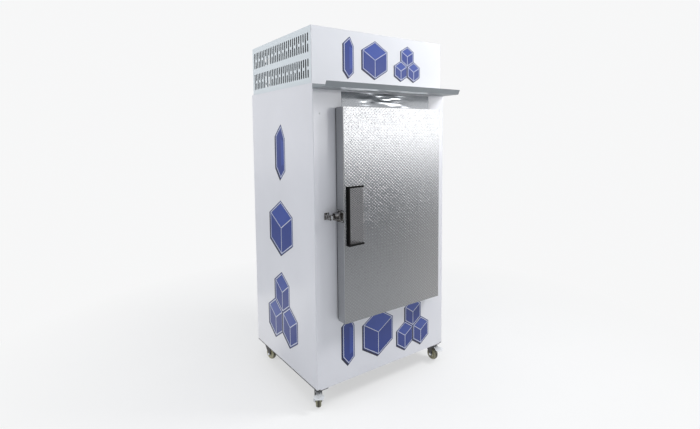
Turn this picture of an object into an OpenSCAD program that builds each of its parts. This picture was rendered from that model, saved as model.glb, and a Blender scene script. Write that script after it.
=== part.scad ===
// Upright freezer for bagged ice: an insulated box on casters with one side-hung door,
// a ventilated machine compartment on top and a rain visor over the door.
// Everything is drawn from the middle of the box's front face at floor level, and
// on_floor() then moves it so that the origin is under the middle of the whole object.

/* [Insulated box] */
// Width over the side panels
box_w = 965; // [930:1:1060]
// Depth from the front face to the back panel
box_d = 750; // [720:1:820]
// Height of the side panels
box_h = 1625; // [1600:1:1720]
// Thickness of the painted steel sheet
sheet_t = 1.2; // [0.8:0.1:1.6]
// Outside radius where the side panels fold round the corners
bend_r = 4; // [3:0.5:7]
// Width of the flanges that the side panels turn on to the front and back
corner_flange = 22; // [16:1:32]
// Thickness of the insulated sides and back
wall_t = 55; // [48:1:68]
// Thickness of the insulated front
front_wall_t = 50; // [44:1:62]
// Thickness of the insulated floor and ceiling
floor_t = 60; // [50:1:75]
// Thickness of the liner sheet
liner_t = 1; // [0.6:0.1:1.6]
// How far the bottom pan shows below the side panels
pan_drop = 6; // [4:0.5:12]
// Diameter of the floor drain pipe
drain_d = 26; // [18:1:34]
// Wall of the floor drain pipe
drain_wall = 3; // [2:0.5:5]
// Distance from the back panel to the middle of the drain
drain_back = 130; // [110:1:200]
// How far the drain pipe hangs below the pan
drain_tail = 28; // [15:1:45]

/* [Door] */
// Distance from the box's left side to the door
door_left = 136; // [120:0.5:150]
// Distance from the door to the box's right side
door_right = 116; // [100:0.5:130]
// Distance from the top of the side panels down to the door
door_drop = 120; // [110:1:150]
// Thickness of the door without its gasket
door_t = 64; // [60:1:70]
// Height of the door's lower edge above the bottom of the side panels
door_lift = 357; // [335:1:380]
// How far the door laps the opening on every side
door_lap = 32; // [26:1:40]
// Thickness of the door skin
skin_t = 1; // [0.7:0.1:1.5]
// Radius of the fold along the upright edges of the door skin
skin_r = 3; // [2:0.5:6]
// Height of the compressed gasket
gasket_h = 10; // [8:0.5:13]
// Width of the gasket's foot
gasket_w = 20; // [16:1:24]
// Distance from the door's edge to the gasket's foot
gasket_inset = 5; // [3:0.5:6]
// Running gap between the gasket and the face that it seals on
seal_gap = 0.3; // [0.2:0.1:0.6]
// Wall of the plastic frame that lines the opening
breaker_t = 3; // [2:0.5:5]
// Distance from the door's edge to the face flange of that frame
breaker_cover = 4; // [3:0.5:8]

/* [Handle] */
// Height of the pull's opening in the door skin
pull_h = 300; // [260:1:340]
// Width of the pull's opening
pull_w = 100; // [85:1:120]
// Distance from the door's free edge to the opening
pull_inset = 30; // [28:1:40]
// Height of the pull's middle above the door's lower edge
pull_z = 575; // [520:1:620]
// How far the pocket runs on behind the gripped edge
pull_under = 16; // [10:1:18]
// Depth of the pocket behind the door skin
pull_depth = 34; // [26:1:42]
// Thickness of the pocket's sheet
pull_t = 1; // [0.7:0.1:1.5]
// Width of the black edge trim round the opening
trim_w = 9; // [7:0.5:12]
// How far the edge trim stands out along the gripped edge
trim_proud = 14; // [10:0.5:18]
// How far the edge trim stands out at the far ends of its arms
trim_end = 5; // [3:0.5:8]

/* [Latch] */
// Height of the latch's middle above the door's lower edge
latch_z = 577; // [520:1:640]
// Height of the latch's fixing plate
latch_plate_h = 64; // [58:1:74]
// Width of the latch's fixing plate
latch_plate_w = 56; // [50:1:56]
// Thickness of the latch's fixing plate
latch_plate_t = 4; // [3:0.5:6]
// Reach of the latch case from the fixing plate
latch_case_l = 38; // [34:1:48]
// Diameter of the plunger
plunger_d = 10; // [8:0.5:12]
// Travel of the plunger into its case
plunger_travel = 6; // [4:0.5:8]
// Diameter of the latch roller
roller_d = 16; // [14:0.5:18]
// Length of the latch roller
roller_l = 18; // [14:0.5:22]
// Diameter of the roller's pin
roller_pin_d = 4; // [3:0.5:5]
// Thickness of the strike's base plate
strike_t = 2.5; // [2:0.5:4]
// Height of the strike
strike_h = 36; // [30:1:50]

/* [Hinges] */
// Height of each hinge
hinge_h = 76; // [60:1:100]
// Distance from the door's top or bottom edge to the middle of a hinge
hinge_inset = 120; // [90:1:180]
// Outside diameter of the hinge knuckles
knuckle_d = 16; // [14:0.5:20]
// Diameter of the hinge pin
hinge_pin_d = 8; // [6:0.5:9]
// Distance from the door's side face to the hinge pin
hinge_offset = 14; // [12:0.5:18]
// Thickness of the hinge leaves
leaf_t = 3; // [2:0.5:4]
// Width of the hinge leaf on the front frame
frame_leaf_w = 42; // [34:1:52]

/* [Machine compartment] */
// Height of the machine compartment
header_h = 293; // [285:1:330]
// How far its front stands behind the box's front
header_front_inset = 18; // [12:1:26]
// How far its sides stand inside the box's sides
header_side_inset = 7; // [4:1:14]
// How far its back stands inside the box's back
header_back_inset = 8; // [6:1:14]
// Width of the flanges that its side panels turn inwards
header_flange = 14; // [10:1:20]
// Width of a vent slot
slot_w = 11.3; // [8:0.1:13]
// Distance from one vent slot to the next
slot_pitch = 22.7; // [20:0.1:26]
// Height of a row of vent slots
slot_h = 98; // [80:1:104]
// Width of the bridge across every other vent slot
slot_bridge = 13; // [8:1:20]
// Distance between the two rows of vent slots
slot_row_gap = 33; // [26:1:40]
// Distance from the top of the compartment to the upper row
slot_top = 33; // [28:1:40]
// Distance from the front of the compartment to the first slot
slot_front = 26; // [24:1:36]
// Height of the upturned edges of the machine tray
tray_lip = 14; // [10:1:20]
// Diameter of the compressor shell
compressor_d = 150; // [130:1:170]
// Height of the compressor shell
compressor_h = 178; // [150:1:195]
// Diameter of the condenser fan
fan_d = 190; // [160:1:205]
// Number of blades on each fan
fan_blades = 5; // [4:1:6]
// Diameter of the fan motors
motor_d = 74; // [60:1:84]
// Diameter of the fan motor shafts
fan_shaft_d = 8; // [6:0.5:10]
// Thickness of the condenser
condenser_t = 66; // [50:1:76]
// Height of the condenser and of the fan shroud
condenser_h = 222; // [215:1:240]
// Length of the condenser
condenser_l = 330; // [300:1:360]
// Diameter of the coil tubes
tube_d = 10; // [8:0.5:12]

/* [Visor and trim] */
// Distance from the top of the side panels down to the visor
visor_drop = 30; // [24:1:40]
// Depth of the visor's flat part
visor_depth = 118; // [110:1:150]
// Height of the visor's front lip
lip_h = 27; // [20:1:36]
// How far the lip leans out
lip_flare = 13; // [6:1:20]
// Thickness of the visor sheet
visor_t = 1.5; // [1:0.1:2.5]
// Distance from the box's left side to the trim plate
trim_plate_left = 178; // [150:1:200]
// Distance from the trim plate to the box's right side
trim_plate_right = 132; // [90:1:160]
// Thickness of the trim plate
trim_plate_t = 1.2; // [0.8:0.1:2]
// Gap over and under the trim plate
trim_plate_gap = 7; // [4:1:12]

/* [Evaporator] */
// Width of the evaporator housing under the ceiling
evaporator_w = 620; // [560:1:680]
// Depth of the evaporator housing
evaporator_d = 230; // [200:1:260]
// Height of the evaporator housing
evaporator_h = 190; // [180:1:205]
// Thickness of the housing sheet
evaporator_t = 1.5; // [1:0.1:2.5]
// Diameter of the evaporator fan
evaporator_fan_d = 150; // [130:1:160]
// Diameter of the thermostat knob
knob_d = 36; // [28:1:44]
// Height of the thermostat knob
knob_h = 18; // [14:1:24]

/* [Casters] */
// Height of a caster from the floor to the top of its plate
caster_h = 104; // [100:1:112]
// Diameter of the wheels
wheel_d = 75; // [68:1:78]
// Width of the wheels
wheel_w = 30; // [24:1:36]
// Diameter of the axle bolts
axle_d = 9.5; // [8:0.5:12]
// Distance from the swivel axis to the axle
caster_trail = 28; // [22:1:34]
// Width of the caster plates
caster_plate_w = 64; // [58:1:74]
// Length of the caster plates
caster_plate_l = 92; // [80:1:104]
// Thickness of the caster plates
caster_plate_t = 3; // [2:0.5:5]
// Thickness of the caster forks
fork_t = 3; // [2:0.5:4]
// Diameter of the swivel race
race_d = 44; // [38:1:52]
// Height of the base rails over the caster plates
rail_h = 10; // [6:1:20]
// Distance from the box's side to the swivel axis
caster_side = 45; // [40:1:60]
// Distance from the box's front and back to the swivel axis
caster_end = 66; // [60:1:80]
// Width of a brake pedal at its tip
pedal_w = 58; // [50:1:62]
// Length of a brake pedal from its pivot
pedal_l = 46; // [40:1:48]
// Slope of a brake pedal towards its tip
pedal_slope = 9; // [4:1:10]

/* [Fits] */
// Radial clearance of pins, axles and shafts in their bores
pin_clear = 0.05; // [0.03:0.01:0.1]
// Gap between parts that turn past each other
turn_gap = 0.4; // [0.3:0.1:0.8]
// Joint between neighbouring insulation boards
board_gap = 0.4; // [0.2:0.1:0.8]

/* [Hidden] */
$fn = 48;

// Finishes
paint = "ghostwhite";
dark_paint = "dimgray";
bare_metal = "silver";
zinc = "gainsboro";
black_plastic = "black";
foam_colour = "khaki";
liner_colour = "lightsteelblue";
copper = "chocolate";
cream = "beige";

// Levels of the stack from the floor up
box_z = caster_h + rail_h + pan_drop;
box_top = box_z + box_h;
header_top = box_top + header_h;
visor_z = box_top - visor_drop;
visor_reach = visor_depth + lip_flare;
front_y = (visor_reach - box_d) / 2;

// Box edges and the ice compartment
side_x = box_w / 2;
cavity_x = side_x - wall_t;
cavity_y = [front_wall_t, box_d - wall_t];
cavity_z = [box_z + floor_t, box_top - floor_t];
fold_clear = bend_r - sheet_t;

// Door and opening edges
door_x = [-side_x + door_left, side_x - door_right];
door_z = [box_z + door_lift, box_top - door_drop];
door_back = -gasket_h;
door_front = -gasket_h - door_t;
open_x = [door_x[0] + door_lap, door_x[1] - door_lap];
open_z = [door_z[0] + door_lap, door_z[1] - door_lap];
flange_reach = door_lap - breaker_cover;

// Handle: a pocket that is deepest behind the gripped edge and slopes out to the skin
pull_x = [door_x[0] + pull_inset, door_x[0] + pull_inset + pull_w];
pull_mid = door_z[0] + pull_z;
pocket_x = pull_x[0] - pull_under;
pocket_back = door_front + skin_t + pull_depth;
pocket_slope = (pocket_back - door_front) / (pull_x[1] - pocket_x);
pocket_skew = pull_t * sqrt(1 + pocket_slope * pocket_slope);

// Latch: the plunger runs along X in the middle of the door's edge
latch_y = (door_front + door_back) / 2 - 1;
latch_mid = door_z[0] + latch_z;
latch_face = door_x[0] - latch_plate_t;
case_tip = latch_face - latch_case_l;
case_nose_w = plunger_d + 16;
case_nose_h = plunger_d + 26;
screw_edge = 7;
plunger_bore_l = latch_case_l - 6;
plunger_l = plunger_bore_l - plunger_travel - 2;
clevis_gap = plunger_travel + turn_gap;
clevis_t = 3;
roller_x = case_tip - clevis_gap - clevis_t - turn_gap - roller_d / 2;
screw_d = 7;
screw_h = 2;
strike_x = roller_x - roller_d / 2 - 0.4;
strike_post = 6.5;

// Hinges
hinge_x = door_x[1] + hinge_offset;
hinge_y = (door_front + door_back) / 2;
hinge_zs = [door_z[0] + hinge_inset, door_z[1] - hinge_inset];
knuckle_gap = 0.6;

// Machine compartment edges
header_x = side_x - header_side_inset;
header_y = [header_front_inset, box_d - header_back_inset];
header_l = header_y[1] - header_y[0];
cover_z = header_top - sheet_t;
slot_count = floor((header_l - 2 * slot_front + slot_pitch - slot_w) / slot_pitch);
slot_rows = [header_top - slot_top - slot_h, header_top - slot_top - 2 * slot_h - slot_row_gap];

// Machinery on its tray
tray_left = 2;
tray_right = 90;
tray_front = 150;
tray_back = 136;
tray_x = [-header_x + sheet_t + header_flange + tray_left, header_x - sheet_t - header_flange - tray_right];
tray_y = [header_y[0] + tray_front, header_y[1] - tray_back];
tray_t = 2;
deck_z = box_top + tray_t;
condenser_x = tray_x[0] + 12;
condenser_y = (tray_y[0] + tray_y[1]) / 2;
condenser_rows = 7;
shroud_d = 44;
shroud_x = condenser_x + condenser_t;
fan_x = shroud_x + shroud_d - 16;
fan_z = deck_z + condenser_h / 2;
fan_hub_d = 44;
fan_hub_l = 22;
fan_tip_gap = 5;
motor_l = 62;
motor_x = fan_x + fan_hub_l / 2 + 8;
compressor_gap = 50;
compressor_x = motor_x + motor_l + compressor_gap + compressor_d / 2;
compressor_y = condenser_y + 20;
foot_h = 14;
coil_bend = tube_d + 4;
relay_w = 60;
relay_h = 60;
relay_lift = 45;
suction_lift = 130;
suction_z = deck_z + foot_h + suction_lift;
liquid_lift = 58;
liquid_z = deck_z + liquid_lift;
box_size = [90, 150, 120];
control_gap = 60;
control_x = compressor_x + compressor_d / 2 + control_gap;

// Evaporator under the ceiling
evap_y = [cavity_y[1] - liner_t - evaporator_d, cavity_y[1] - liner_t];
evap_z = [cavity_z[1] - liner_t - evaporator_h, cavity_z[1] - liner_t];
evap_fan_z = (evap_z[0] + evap_z[1]) / 2;
evap_motor_l = 46;
evap_fan_y = evap_y[0] + 26;
evap_coil_y = evap_fan_y + fan_hub_l / 2 + 8 + evap_motor_l + 12;
evap_coil_end = 70;
knob_inset = 60;
knob_x = evaporator_w / 2 - knob_inset;
knob_shaft_d = 8;
knob_shaft_l = 10;
line_inset = 40;
line_back = 50;
line_tail = 40;
line_x = evaporator_w / 2 - line_inset;
line_y = box_d - wall_t - line_back;
suction_d = 14;
liquid_d = 8;
line_pitch = 24;
grommet_d = 56;
gland_d = 14;
gland_inset = 62;
gland_lift = 40;
gland_x = header_x - gland_inset;
gland_z = box_top + gland_lift;
stub_l = 20;

// Casters
plate_z = caster_h - caster_plate_t;
race_h = 8;
crown_z = plate_z - race_h - 2 * turn_gap;
axle_z = wheel_d / 2;
leg_gap = wheel_w / 2 + 1.5;
leg_r = 12;
kingpin_d = 12;
pivot_u = caster_trail + 22;
pivot_z = crown_z - 5;
pivot_d = 6;
knuckle_wall = 2;
nut_d = 16;
nut_h = 7;
pedal_t = 2.5;
bolt_head_h = 3;
front_left_heading = -28;
front_right_heading = 2;
rear_left_heading = 14;
rear_right_heading = 152;
caster_x = side_x - caster_side;
caster_front_y = caster_end;
caster_back_y = box_d - caster_end;

// Moves a shape from the front face's frame to the object's own frame
module on_floor() {
    translate([0, front_y, 0]) children();
}

// A block given by its low and high edges along each axis
module span(x, y, z) {
    translate([x[0], y[0], z[0]]) cube([x[1] - x[0], y[1] - y[0], z[1] - z[0]]);
}

// A cylinder along X or Y from a start point
module rod_x(at, d, l) {
    translate(at) rotate([0, 90, 0]) cylinder(d = d, h = l);
}

module rod_y(at, d, l) {
    translate(at) rotate([-90, 0, 0]) cylinder(d = d, h = l);
}

// A rectangle given by its edges
module rect(x, y) {
    translate([x[0], y[0]]) square([x[1] - x[0], y[1] - y[0]]);
}

function grown(r, by) = [r[0] - by, r[1] + by];

// Stands a flat outline drawn in X and Z upright, from y0 back to y1
module upright(y0, y1) {
    translate([0, y1, 0]) rotate([90, 0, 0]) linear_extrude(y1 - y0) children();
}

module ring_xz(x, z, wide, y0, y1) {
    upright(y0, y1) difference() {
        rect(grown(x, wide), grown(z, wide));
        rect(x, z);
    }
}

// A plan outline with cut corners that clears the folds of the side panels
module cut_plan(x, y, cut) {
    polygon([
        [x[0] + cut, y[0]], [x[1] - cut, y[0]], [x[1], y[0] + cut], [x[1], y[1] - cut],
        [x[1] - cut, y[1]], [x[0] + cut, y[1]], [x[0], y[1] - cut], [x[0], y[0] + cut],
    ]);
}

// Quarter of a folded corner in plan, centred on the fold
module fold_plan(r, t, turn) {
    rotate(turn) intersection() {
        difference() {
            circle(r);
            circle(r - t);
        }
        square(r);
    }
}

// Plan of a side sheet with flanges turned in at the front and back
module side_plan(x, y, t, r, flange) {
    rect([x, x + t], grown(y, -r));
    rect([x + r, x + flange], [y[0], y[0] + t]);
    rect([x + r, x + flange], [y[1] - t, y[1]]);
    translate([x + r, y[0] + r]) fold_plan(r, t, 180);
    translate([x + r, y[1] - r]) fold_plan(r, t, 90);
}

// ---- Insulated box ----

module side_panel() {
    translate([0, 0, box_z]) linear_extrude(box_h)
        side_plan(-side_x, [0, box_d], sheet_t, bend_r, corner_flange);
}

module left_side_panel() {
    color(paint) on_floor() side_panel();
}

module right_side_panel() {
    color(paint) on_floor() mirror([1, 0, 0]) side_panel();
}

module back_panel() {
    color(paint) on_floor()
        span(grown([-side_x, side_x], -corner_flange), [box_d - sheet_t, box_d], [box_z, box_top]);
}

module front_frame() {
    color(paint) on_floor() {
        upright(0, sheet_t) difference() {
            rect(grown([-side_x, side_x], -corner_flange), [box_z - pan_drop, box_top]);
            rect(grown(open_x, flange_reach), grown(open_z, flange_reach));
        }
    }
}

module top_deck() {
    color(bare_metal) on_floor() difference() {
        translate([0, 0, box_top - sheet_t]) linear_extrude(sheet_t)
            cut_plan(grown([-side_x, side_x], -sheet_t), grown([0, box_d], -sheet_t), fold_clear);
        line_hole();
    }
}

module bottom_pan() {
    pan_x = [-side_x, side_x];
    pan_y = [sheet_t, box_d];
    color(dark_paint) on_floor() difference() {
        translate([0, 0, box_z - pan_drop]) linear_extrude(pan_drop)
            cut_plan(pan_x, pan_y, fold_clear);
        translate([0, 0, box_z - pan_drop + sheet_t]) linear_extrude(pan_drop)
            cut_plan(grown(pan_x, -sheet_t), grown(pan_y, -sheet_t), fold_clear);
        drain_hole();
    }
}

module line_hole() {
    translate([line_x, line_y, cavity_z[1] - 1]) cylinder(d = grommet_d, h = floor_t + 2);
}

module drain_hole() {
    translate([0, box_d - drain_back, box_z - pan_drop - 1])
        cylinder(d = drain_d + 2 * turn_gap, h = floor_t + pan_drop + liner_t + 2);
}

// Insulation boards: front and back run the full width, the rest fit between them
module insulation() {
    x = grown([-side_x, side_x], -sheet_t);
    y = grown([0, box_d], -sheet_t);
    z = [box_z - pan_drop + sheet_t, box_top - sheet_t];
    between = grown(cavity_y, -board_gap);
    inner_x = [-cavity_x + board_gap, cavity_x - board_gap];
    color(foam_colour) on_floor() {
        difference() {
            translate([0, 0, box_z]) linear_extrude(z[1] - box_z) polygon([
                [x[0] + fold_clear, y[0]], [x[1] - fold_clear, y[0]], [x[1], y[0] + fold_clear],
                [x[1], cavity_y[0]], [x[0], cavity_y[0]], [x[0], y[0] + fold_clear],
            ]);
            span(grown(open_x, breaker_t), [0, front_wall_t + 1], grown(open_z, breaker_t));
        }
        translate([0, 0, z[0]]) linear_extrude(z[1] - z[0]) polygon([
            [x[0], cavity_y[1]], [x[1], cavity_y[1]], [x[1], y[1] - fold_clear],
            [x[1] - fold_clear, y[1]], [x[0] + fold_clear, y[1]], [x[0], y[1] - fold_clear],
        ]);
        span([x[0], -cavity_x], between, z);
        span([cavity_x, x[1]], between, z);
        difference() {
            span(inner_x, between, [z[0], cavity_z[0]]);
            drain_hole();
        }
        difference() {
            span(inner_x, between, [cavity_z[1], z[1]]);
            line_hole();
        }
    }
}

module inner_liner() {
    color(liner_colour) on_floor() difference() {
        span([-cavity_x, cavity_x], cavity_y, cavity_z);
        span(grown([-cavity_x, cavity_x], -liner_t), grown(cavity_y, -liner_t),
            grown(cavity_z, -liner_t));
        span(grown(open_x, breaker_t), [0, front_wall_t + 2 * liner_t], grown(open_z, breaker_t));
        line_hole();
        drain_hole();
    }
}

module opening_frame() {
    color(black_plastic) on_floor() {
        ring_xz(open_x, open_z, flange_reach, 0, sheet_t);
        ring_xz(open_x, open_z, breaker_t, 0, front_wall_t + liner_t);
    }
}

module drain_pipe() {
    z0 = box_z - pan_drop - drain_tail;
    top = cavity_z[0] + liner_t;
    color(black_plastic) on_floor() translate([0, box_d - drain_back, 0]) difference() {
        union() {
            translate([0, 0, z0]) cylinder(d = drain_d, h = top - z0);
            translate([0, 0, top]) cylinder(d = drain_d + 14, h = 2);
        }
        translate([0, 0, z0 - 1]) cylinder(d = drain_d - 2 * drain_wall, h = top - z0 + 4);
    }
}

module trim_plate() {
    x = [-side_x + trim_plate_left, side_x - trim_plate_right];
    z = [door_z[1] + trim_plate_gap, visor_z - trim_plate_gap];
    color(bare_metal) on_floor() span(x, [-trim_plate_t, 0], z);
}

module visor() {
    flange_top = box_top - 3;
    outline = [
        [0, visor_z], [-visor_depth, visor_z], [-visor_reach, visor_z + lip_h],
        [-visor_reach + visor_t, visor_z + lip_h], [-visor_depth + visor_t, visor_z + visor_t],
        [-visor_t, visor_z + visor_t], [-visor_t, flange_top], [0, flange_top],
    ];
    color(dark_paint) on_floor()
        translate([-side_x, 0, 0]) rotate([90, 0, 90]) linear_extrude(box_w) polygon(outline);
}

// ---- Machine compartment ----

// A vent slot with round ends, drawn with its length along Y
module slot_outline(l) {
    translate([0, slot_w / 2]) square([slot_w, l - slot_w]);
    translate([slot_w / 2, slot_w / 2]) circle(d = slot_w);
    translate([slot_w / 2, l - slot_w / 2]) circle(d = slot_w);
}

// One row of slots: every other slot has a bridge across its middle
module slot_row(count) {
    half = (slot_h - slot_bridge) / 2;
    for (i = [0 : count - 1]) translate([i * slot_pitch, 0]) {
        if (i % 2 == 0) {
            slot_outline(half);
            translate([0, half + slot_bridge]) slot_outline(half);
        } else {
            slot_outline(slot_h);
        }
    }
}

module header_side() {
    difference() {
        translate([0, 0, box_top]) linear_extrude(cover_z - box_top)
            side_plan(-header_x, header_y, sheet_t, bend_r, header_flange);
        translate([-header_x - 1, header_y[0] + slot_front, 0]) rotate([90, 0, 90])
            linear_extrude(sheet_t + 2) for (z = slot_rows) translate([0, z]) slot_row(slot_count);
    }
}

module header_left_vent() {
    color(paint) on_floor() header_side();
}

module header_right_vent() {
    color(paint) on_floor() mirror([1, 0, 0]) header_side();
}

module header_front_panel() {
    color(paint) on_floor()
        span(grown([-header_x, header_x], -header_flange),
            [header_y[0], header_y[0] + sheet_t], [box_top, cover_z]);
}

module header_back_grille() {
    x = grown([-header_x, header_x], -header_flange);
    margin = 60;
    count = floor((x[1] - x[0] - 2 * margin + slot_pitch - slot_w) / slot_pitch);
    start = -(count * slot_pitch - slot_pitch + slot_w) / 2;
    color(paint) on_floor() upright(header_y[1] - sheet_t, header_y[1]) difference() {
        rect(x, [box_top, cover_z]);
        for (z = slot_rows) translate([start, z]) slot_row(count);
        translate([gland_x, gland_z]) circle(d = gland_d + 2 * pin_clear);
    }
}

module header_top_cover() {
    color(paint) on_floor()
        translate([0, 0, cover_z]) linear_extrude(sheet_t)
            cut_plan([-header_x, header_x], header_y, fold_clear);
}

module machine_tray() {
    color(zinc) on_floor() difference() {
        span(tray_x, tray_y, [box_top, box_top + tray_lip]);
        span(grown(tray_x, -tray_t), grown(tray_y, -tray_t), [deck_z, box_top + tray_lip + 1]);
    }
}

module compressor() {
    r = 34;
    shell_r = compressor_d / 2;
    z = deck_z + foot_h;
    color(black_plastic) on_floor() translate([compressor_x, compressor_y, 0]) {
        translate([0, 0, z]) rotate_extrude() intersection() {
            square([shell_r, compressor_h]);
            union() {
                square([shell_r - r, compressor_h]);
                translate([0, r]) square([shell_r, compressor_h - 2 * r]);
                translate([shell_r - r, r]) circle(r);
                translate([shell_r - r, compressor_h - r]) circle(r);
            }
        }
        translate([0, 0, z + compressor_h * 0.52]) cylinder(r = shell_r + 3, h = 6);
        for (a = [45 : 90 : 315]) rotate(a) {
            span([shell_r - r, shell_r + 16], [-12, 12], [z, z + 3]);
            translate([shell_r + 4, 0, deck_z]) cylinder(d = 18, h = foot_h);
        }
        rotate(200) span([shell_r - 10, shell_r + 24], [-relay_w / 2, relay_w / 2],
            [z + relay_lift, z + relay_lift + relay_h]);
        rod_y([0, shell_r - 4, suction_z], suction_d + 4, stub_l + 4);
    }
}

// A finned coil along Y: two end plates, the fin pack and the return bends outside them
module coil(t, l, h, rows, deep) {
    plate = 2;
    bend = coil_bend;
    pitch = h / rows;
    span([0, t], [bend + plate, l - bend - plate], [2, h - 2]);
    span([-3, t + 3], [bend, bend + plate], [0, h]);
    span([-3, t + 3], [l - bend - plate, l - bend], [0, h]);
    for (k = [0 : deep - 1]) for (i = [0 : rows - 2]) {
        front = (i + k) % 2 == 0;
        translate([t * (k + 0.5) / deep, front ? bend : l - bend, pitch * (i + 1)])
            rotate([0, 90, 0]) rotate(front ? 180 : 0) rotate_extrude(angle = 180)
                translate([pitch / 2, 0]) circle(d = tube_d * 0.9);
    }
}

module condenser_coil() {
    color("slategray") on_floor()
        translate([condenser_x, condenser_y - condenser_l / 2, deck_z])
            coil(condenser_t, condenser_l, condenser_h, condenser_rows, 2);
}

module fan_shroud() {
    wide = condenser_l - 2 * tube_d - 12;
    y = [condenser_y - wide / 2, condenser_y + wide / 2];
    color(zinc) on_floor() difference() {
        span([shroud_x + 3, shroud_x + shroud_d], y, [deck_z, deck_z + condenser_h]);
        span([shroud_x + 2, shroud_x + shroud_d - 2], grown(y, -2),
            grown([deck_z, deck_z + condenser_h], -2));
        rod_x([shroud_x, condenser_y, fan_z], fan_d + 2 * fan_tip_gap, shroud_d + 1);
    }
}

// An axial fan with its shaft bore, facing along X
module fan(d, hub_d, hub_l, shaft_d) {
    blade_l = d / 2 - hub_d / 2 + 4;
    difference() {
        union() {
            rod_x([-hub_l / 2, 0, 0], hub_d, hub_l);
            intersection() {
                for (i = [0 : fan_blades - 1]) rotate([i * 360 / fan_blades, 0, 0])
                    translate([0, 0, hub_d / 2 - 4]) rotate([0, 0, 32])
                        translate([-0.8, 0, 0]) rotate([90, 0, 90]) linear_extrude(1.6)
                            polygon([
                                [-d * 0.09, 0], [d * 0.09, 0],
                                [d * 0.17, blade_l], [-d * 0.11, blade_l],
                            ]);
                rod_x([-d, 0, 0], d, 2 * d);
            }
        }
        rod_x([-hub_l, 0, 0], shaft_d + 2 * pin_clear, 2 * hub_l);
    }
}

module fan_motor(d, l, shaft_d, shaft_l) {
    rod_x([0, 0, 0], d, l);
    rod_x([l - 1, 0, 0], d * 0.6, 9);
    rod_x([-6, 0, 0], d * 0.36, 7);
    rod_x([-shaft_l, 0, 0], shaft_d, shaft_l + 1);
}

module condenser_fan_motor() {
    motor_foot_in = 14;
    motor_foot_w = 20;
    shaft_l = motor_x - fan_x + fan_hub_l / 2;
    color("dimgray") on_floor() {
        translate([motor_x, condenser_y, fan_z]) fan_motor(motor_d, motor_l, fan_shaft_d, shaft_l);
        span([motor_x + motor_foot_in, motor_x + motor_foot_in + motor_foot_w], [condenser_y - 24, condenser_y + 24],
            [deck_z, fan_z - motor_d / 2 + 8]);
    }
}

module condenser_fan() {
    color("gray") on_floor()
        translate([fan_x, condenser_y, fan_z]) fan(fan_d, fan_hub_d, fan_hub_l, fan_shaft_d);
}

module control_box() {
    x = [control_x, control_x + box_size[0]];
    y = [compressor_y - box_size[1] / 2, compressor_y + box_size[1] / 2];
    color(bare_metal) on_floor() {
        span(x, y, [deck_z, deck_z + box_size[2]]);
        span(grown(x, 2), grown(y, 2), [deck_z + box_size[2], deck_z + box_size[2] + 8]);
    }
}

module line_grommet() {
    color(black_plastic) on_floor() translate([line_x, line_y, cavity_z[1] - liner_t - 3]) difference() {
        union() {
            cylinder(d = grommet_d - 2 * turn_gap, h = floor_t + liner_t + 6);
            translate([0, 0, floor_t + liner_t + 3]) cylinder(d = grommet_d + 16, h = 3);
        }
        for (s = [-1, 1]) translate([s * line_pitch / 2, 0, -1])
            cylinder(d = (s < 0 ? suction_d : liquid_d) + 2 * pin_clear, h = floor_t + 12);
    }
}

// A line that rises from the evaporator through the grommet, runs left and then forward
module line_run(x, d, z, end_x, end_y) {
    r = 2.5 * d;
    foot = cavity_z[1] - liner_t - line_tail;
    translate([x, line_y, foot]) cylinder(d = d, h = z - r - foot);
    translate([x - r, line_y, z - r]) rotate([90, 0, 0]) rotate_extrude(angle = 90)
        translate([r, 0]) circle(d = d);
    rod_x([end_x + r, line_y, z], d, x - end_x - 2 * r);
    translate([end_x + r, line_y - r, z]) rotate(90) rotate_extrude(angle = 90)
        translate([r, 0]) circle(d = d);
    rod_y([end_x, end_y, z], d, line_y - r - end_y);
}

module refrigerant_lines() {
    color(copper) on_floor() {
        line_run(line_x - line_pitch / 2, suction_d, suction_z,
            compressor_x, compressor_y + compressor_d / 2 + stub_l);
        line_run(line_x + line_pitch / 2, liquid_d, liquid_z,
            condenser_x + condenser_t / 2, condenser_y + condenser_l / 2 - coil_bend);
    }
}

module cord_gland() {
    at = [gland_x, header_y[1], gland_z];
    color(black_plastic) on_floor() difference() {
        union() {
            rod_y(at, gland_d + 10, 6);
            rod_y(at - [0, sheet_t + 14, 0], gland_d, sheet_t + 15);
            rod_y(at - [0, sheet_t + 6, 0], gland_d + 8, 6);
        }
        rod_y(at - [0, 20, 0], 8, 40);
    }
}

// ---- Evaporator ----

module evaporator_housing() {
    x = [-evaporator_w / 2, evaporator_w / 2];
    slots = 9;
    pitch = 22;
    color("whitesmoke") on_floor() difference() {
        span(x, evap_y, evap_z);
        span(grown(x, -evaporator_t), [evap_y[0] + evaporator_t, evap_y[1] + 1],
            [evap_z[0] + evaporator_t, evap_z[1] + 1]);
        rod_y([0, evap_y[0] - 1, evap_fan_z], evaporator_fan_d + 2 * fan_tip_gap, evaporator_t + 2);
        for (i = [0 : slots - 1]) translate([(i - (slots - 1) / 2) * pitch, 0, 0])
            span([-5, 5], [evap_coil_y + 5, evap_y[1] - 20],
                [evap_z[0] - 1, evap_z[0] + evaporator_t + 1]);
        rod_y([knob_x, evap_y[0] - 1, evap_fan_z], knob_shaft_d + 2 * pin_clear, evaporator_t + 2);
    }
}

module evaporator_coil() {
    l = evaporator_w - 2 * evap_coil_end;
    t = evap_y[1] - evap_coil_y - 6;
    color("slategray") on_floor()
        translate([-l / 2, evap_coil_y + 3, evap_z[0] + evaporator_t]) mirror([1, -1, 0])
            coil(t, l, evaporator_h - evaporator_t - 12, 6, 2);
}

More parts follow.
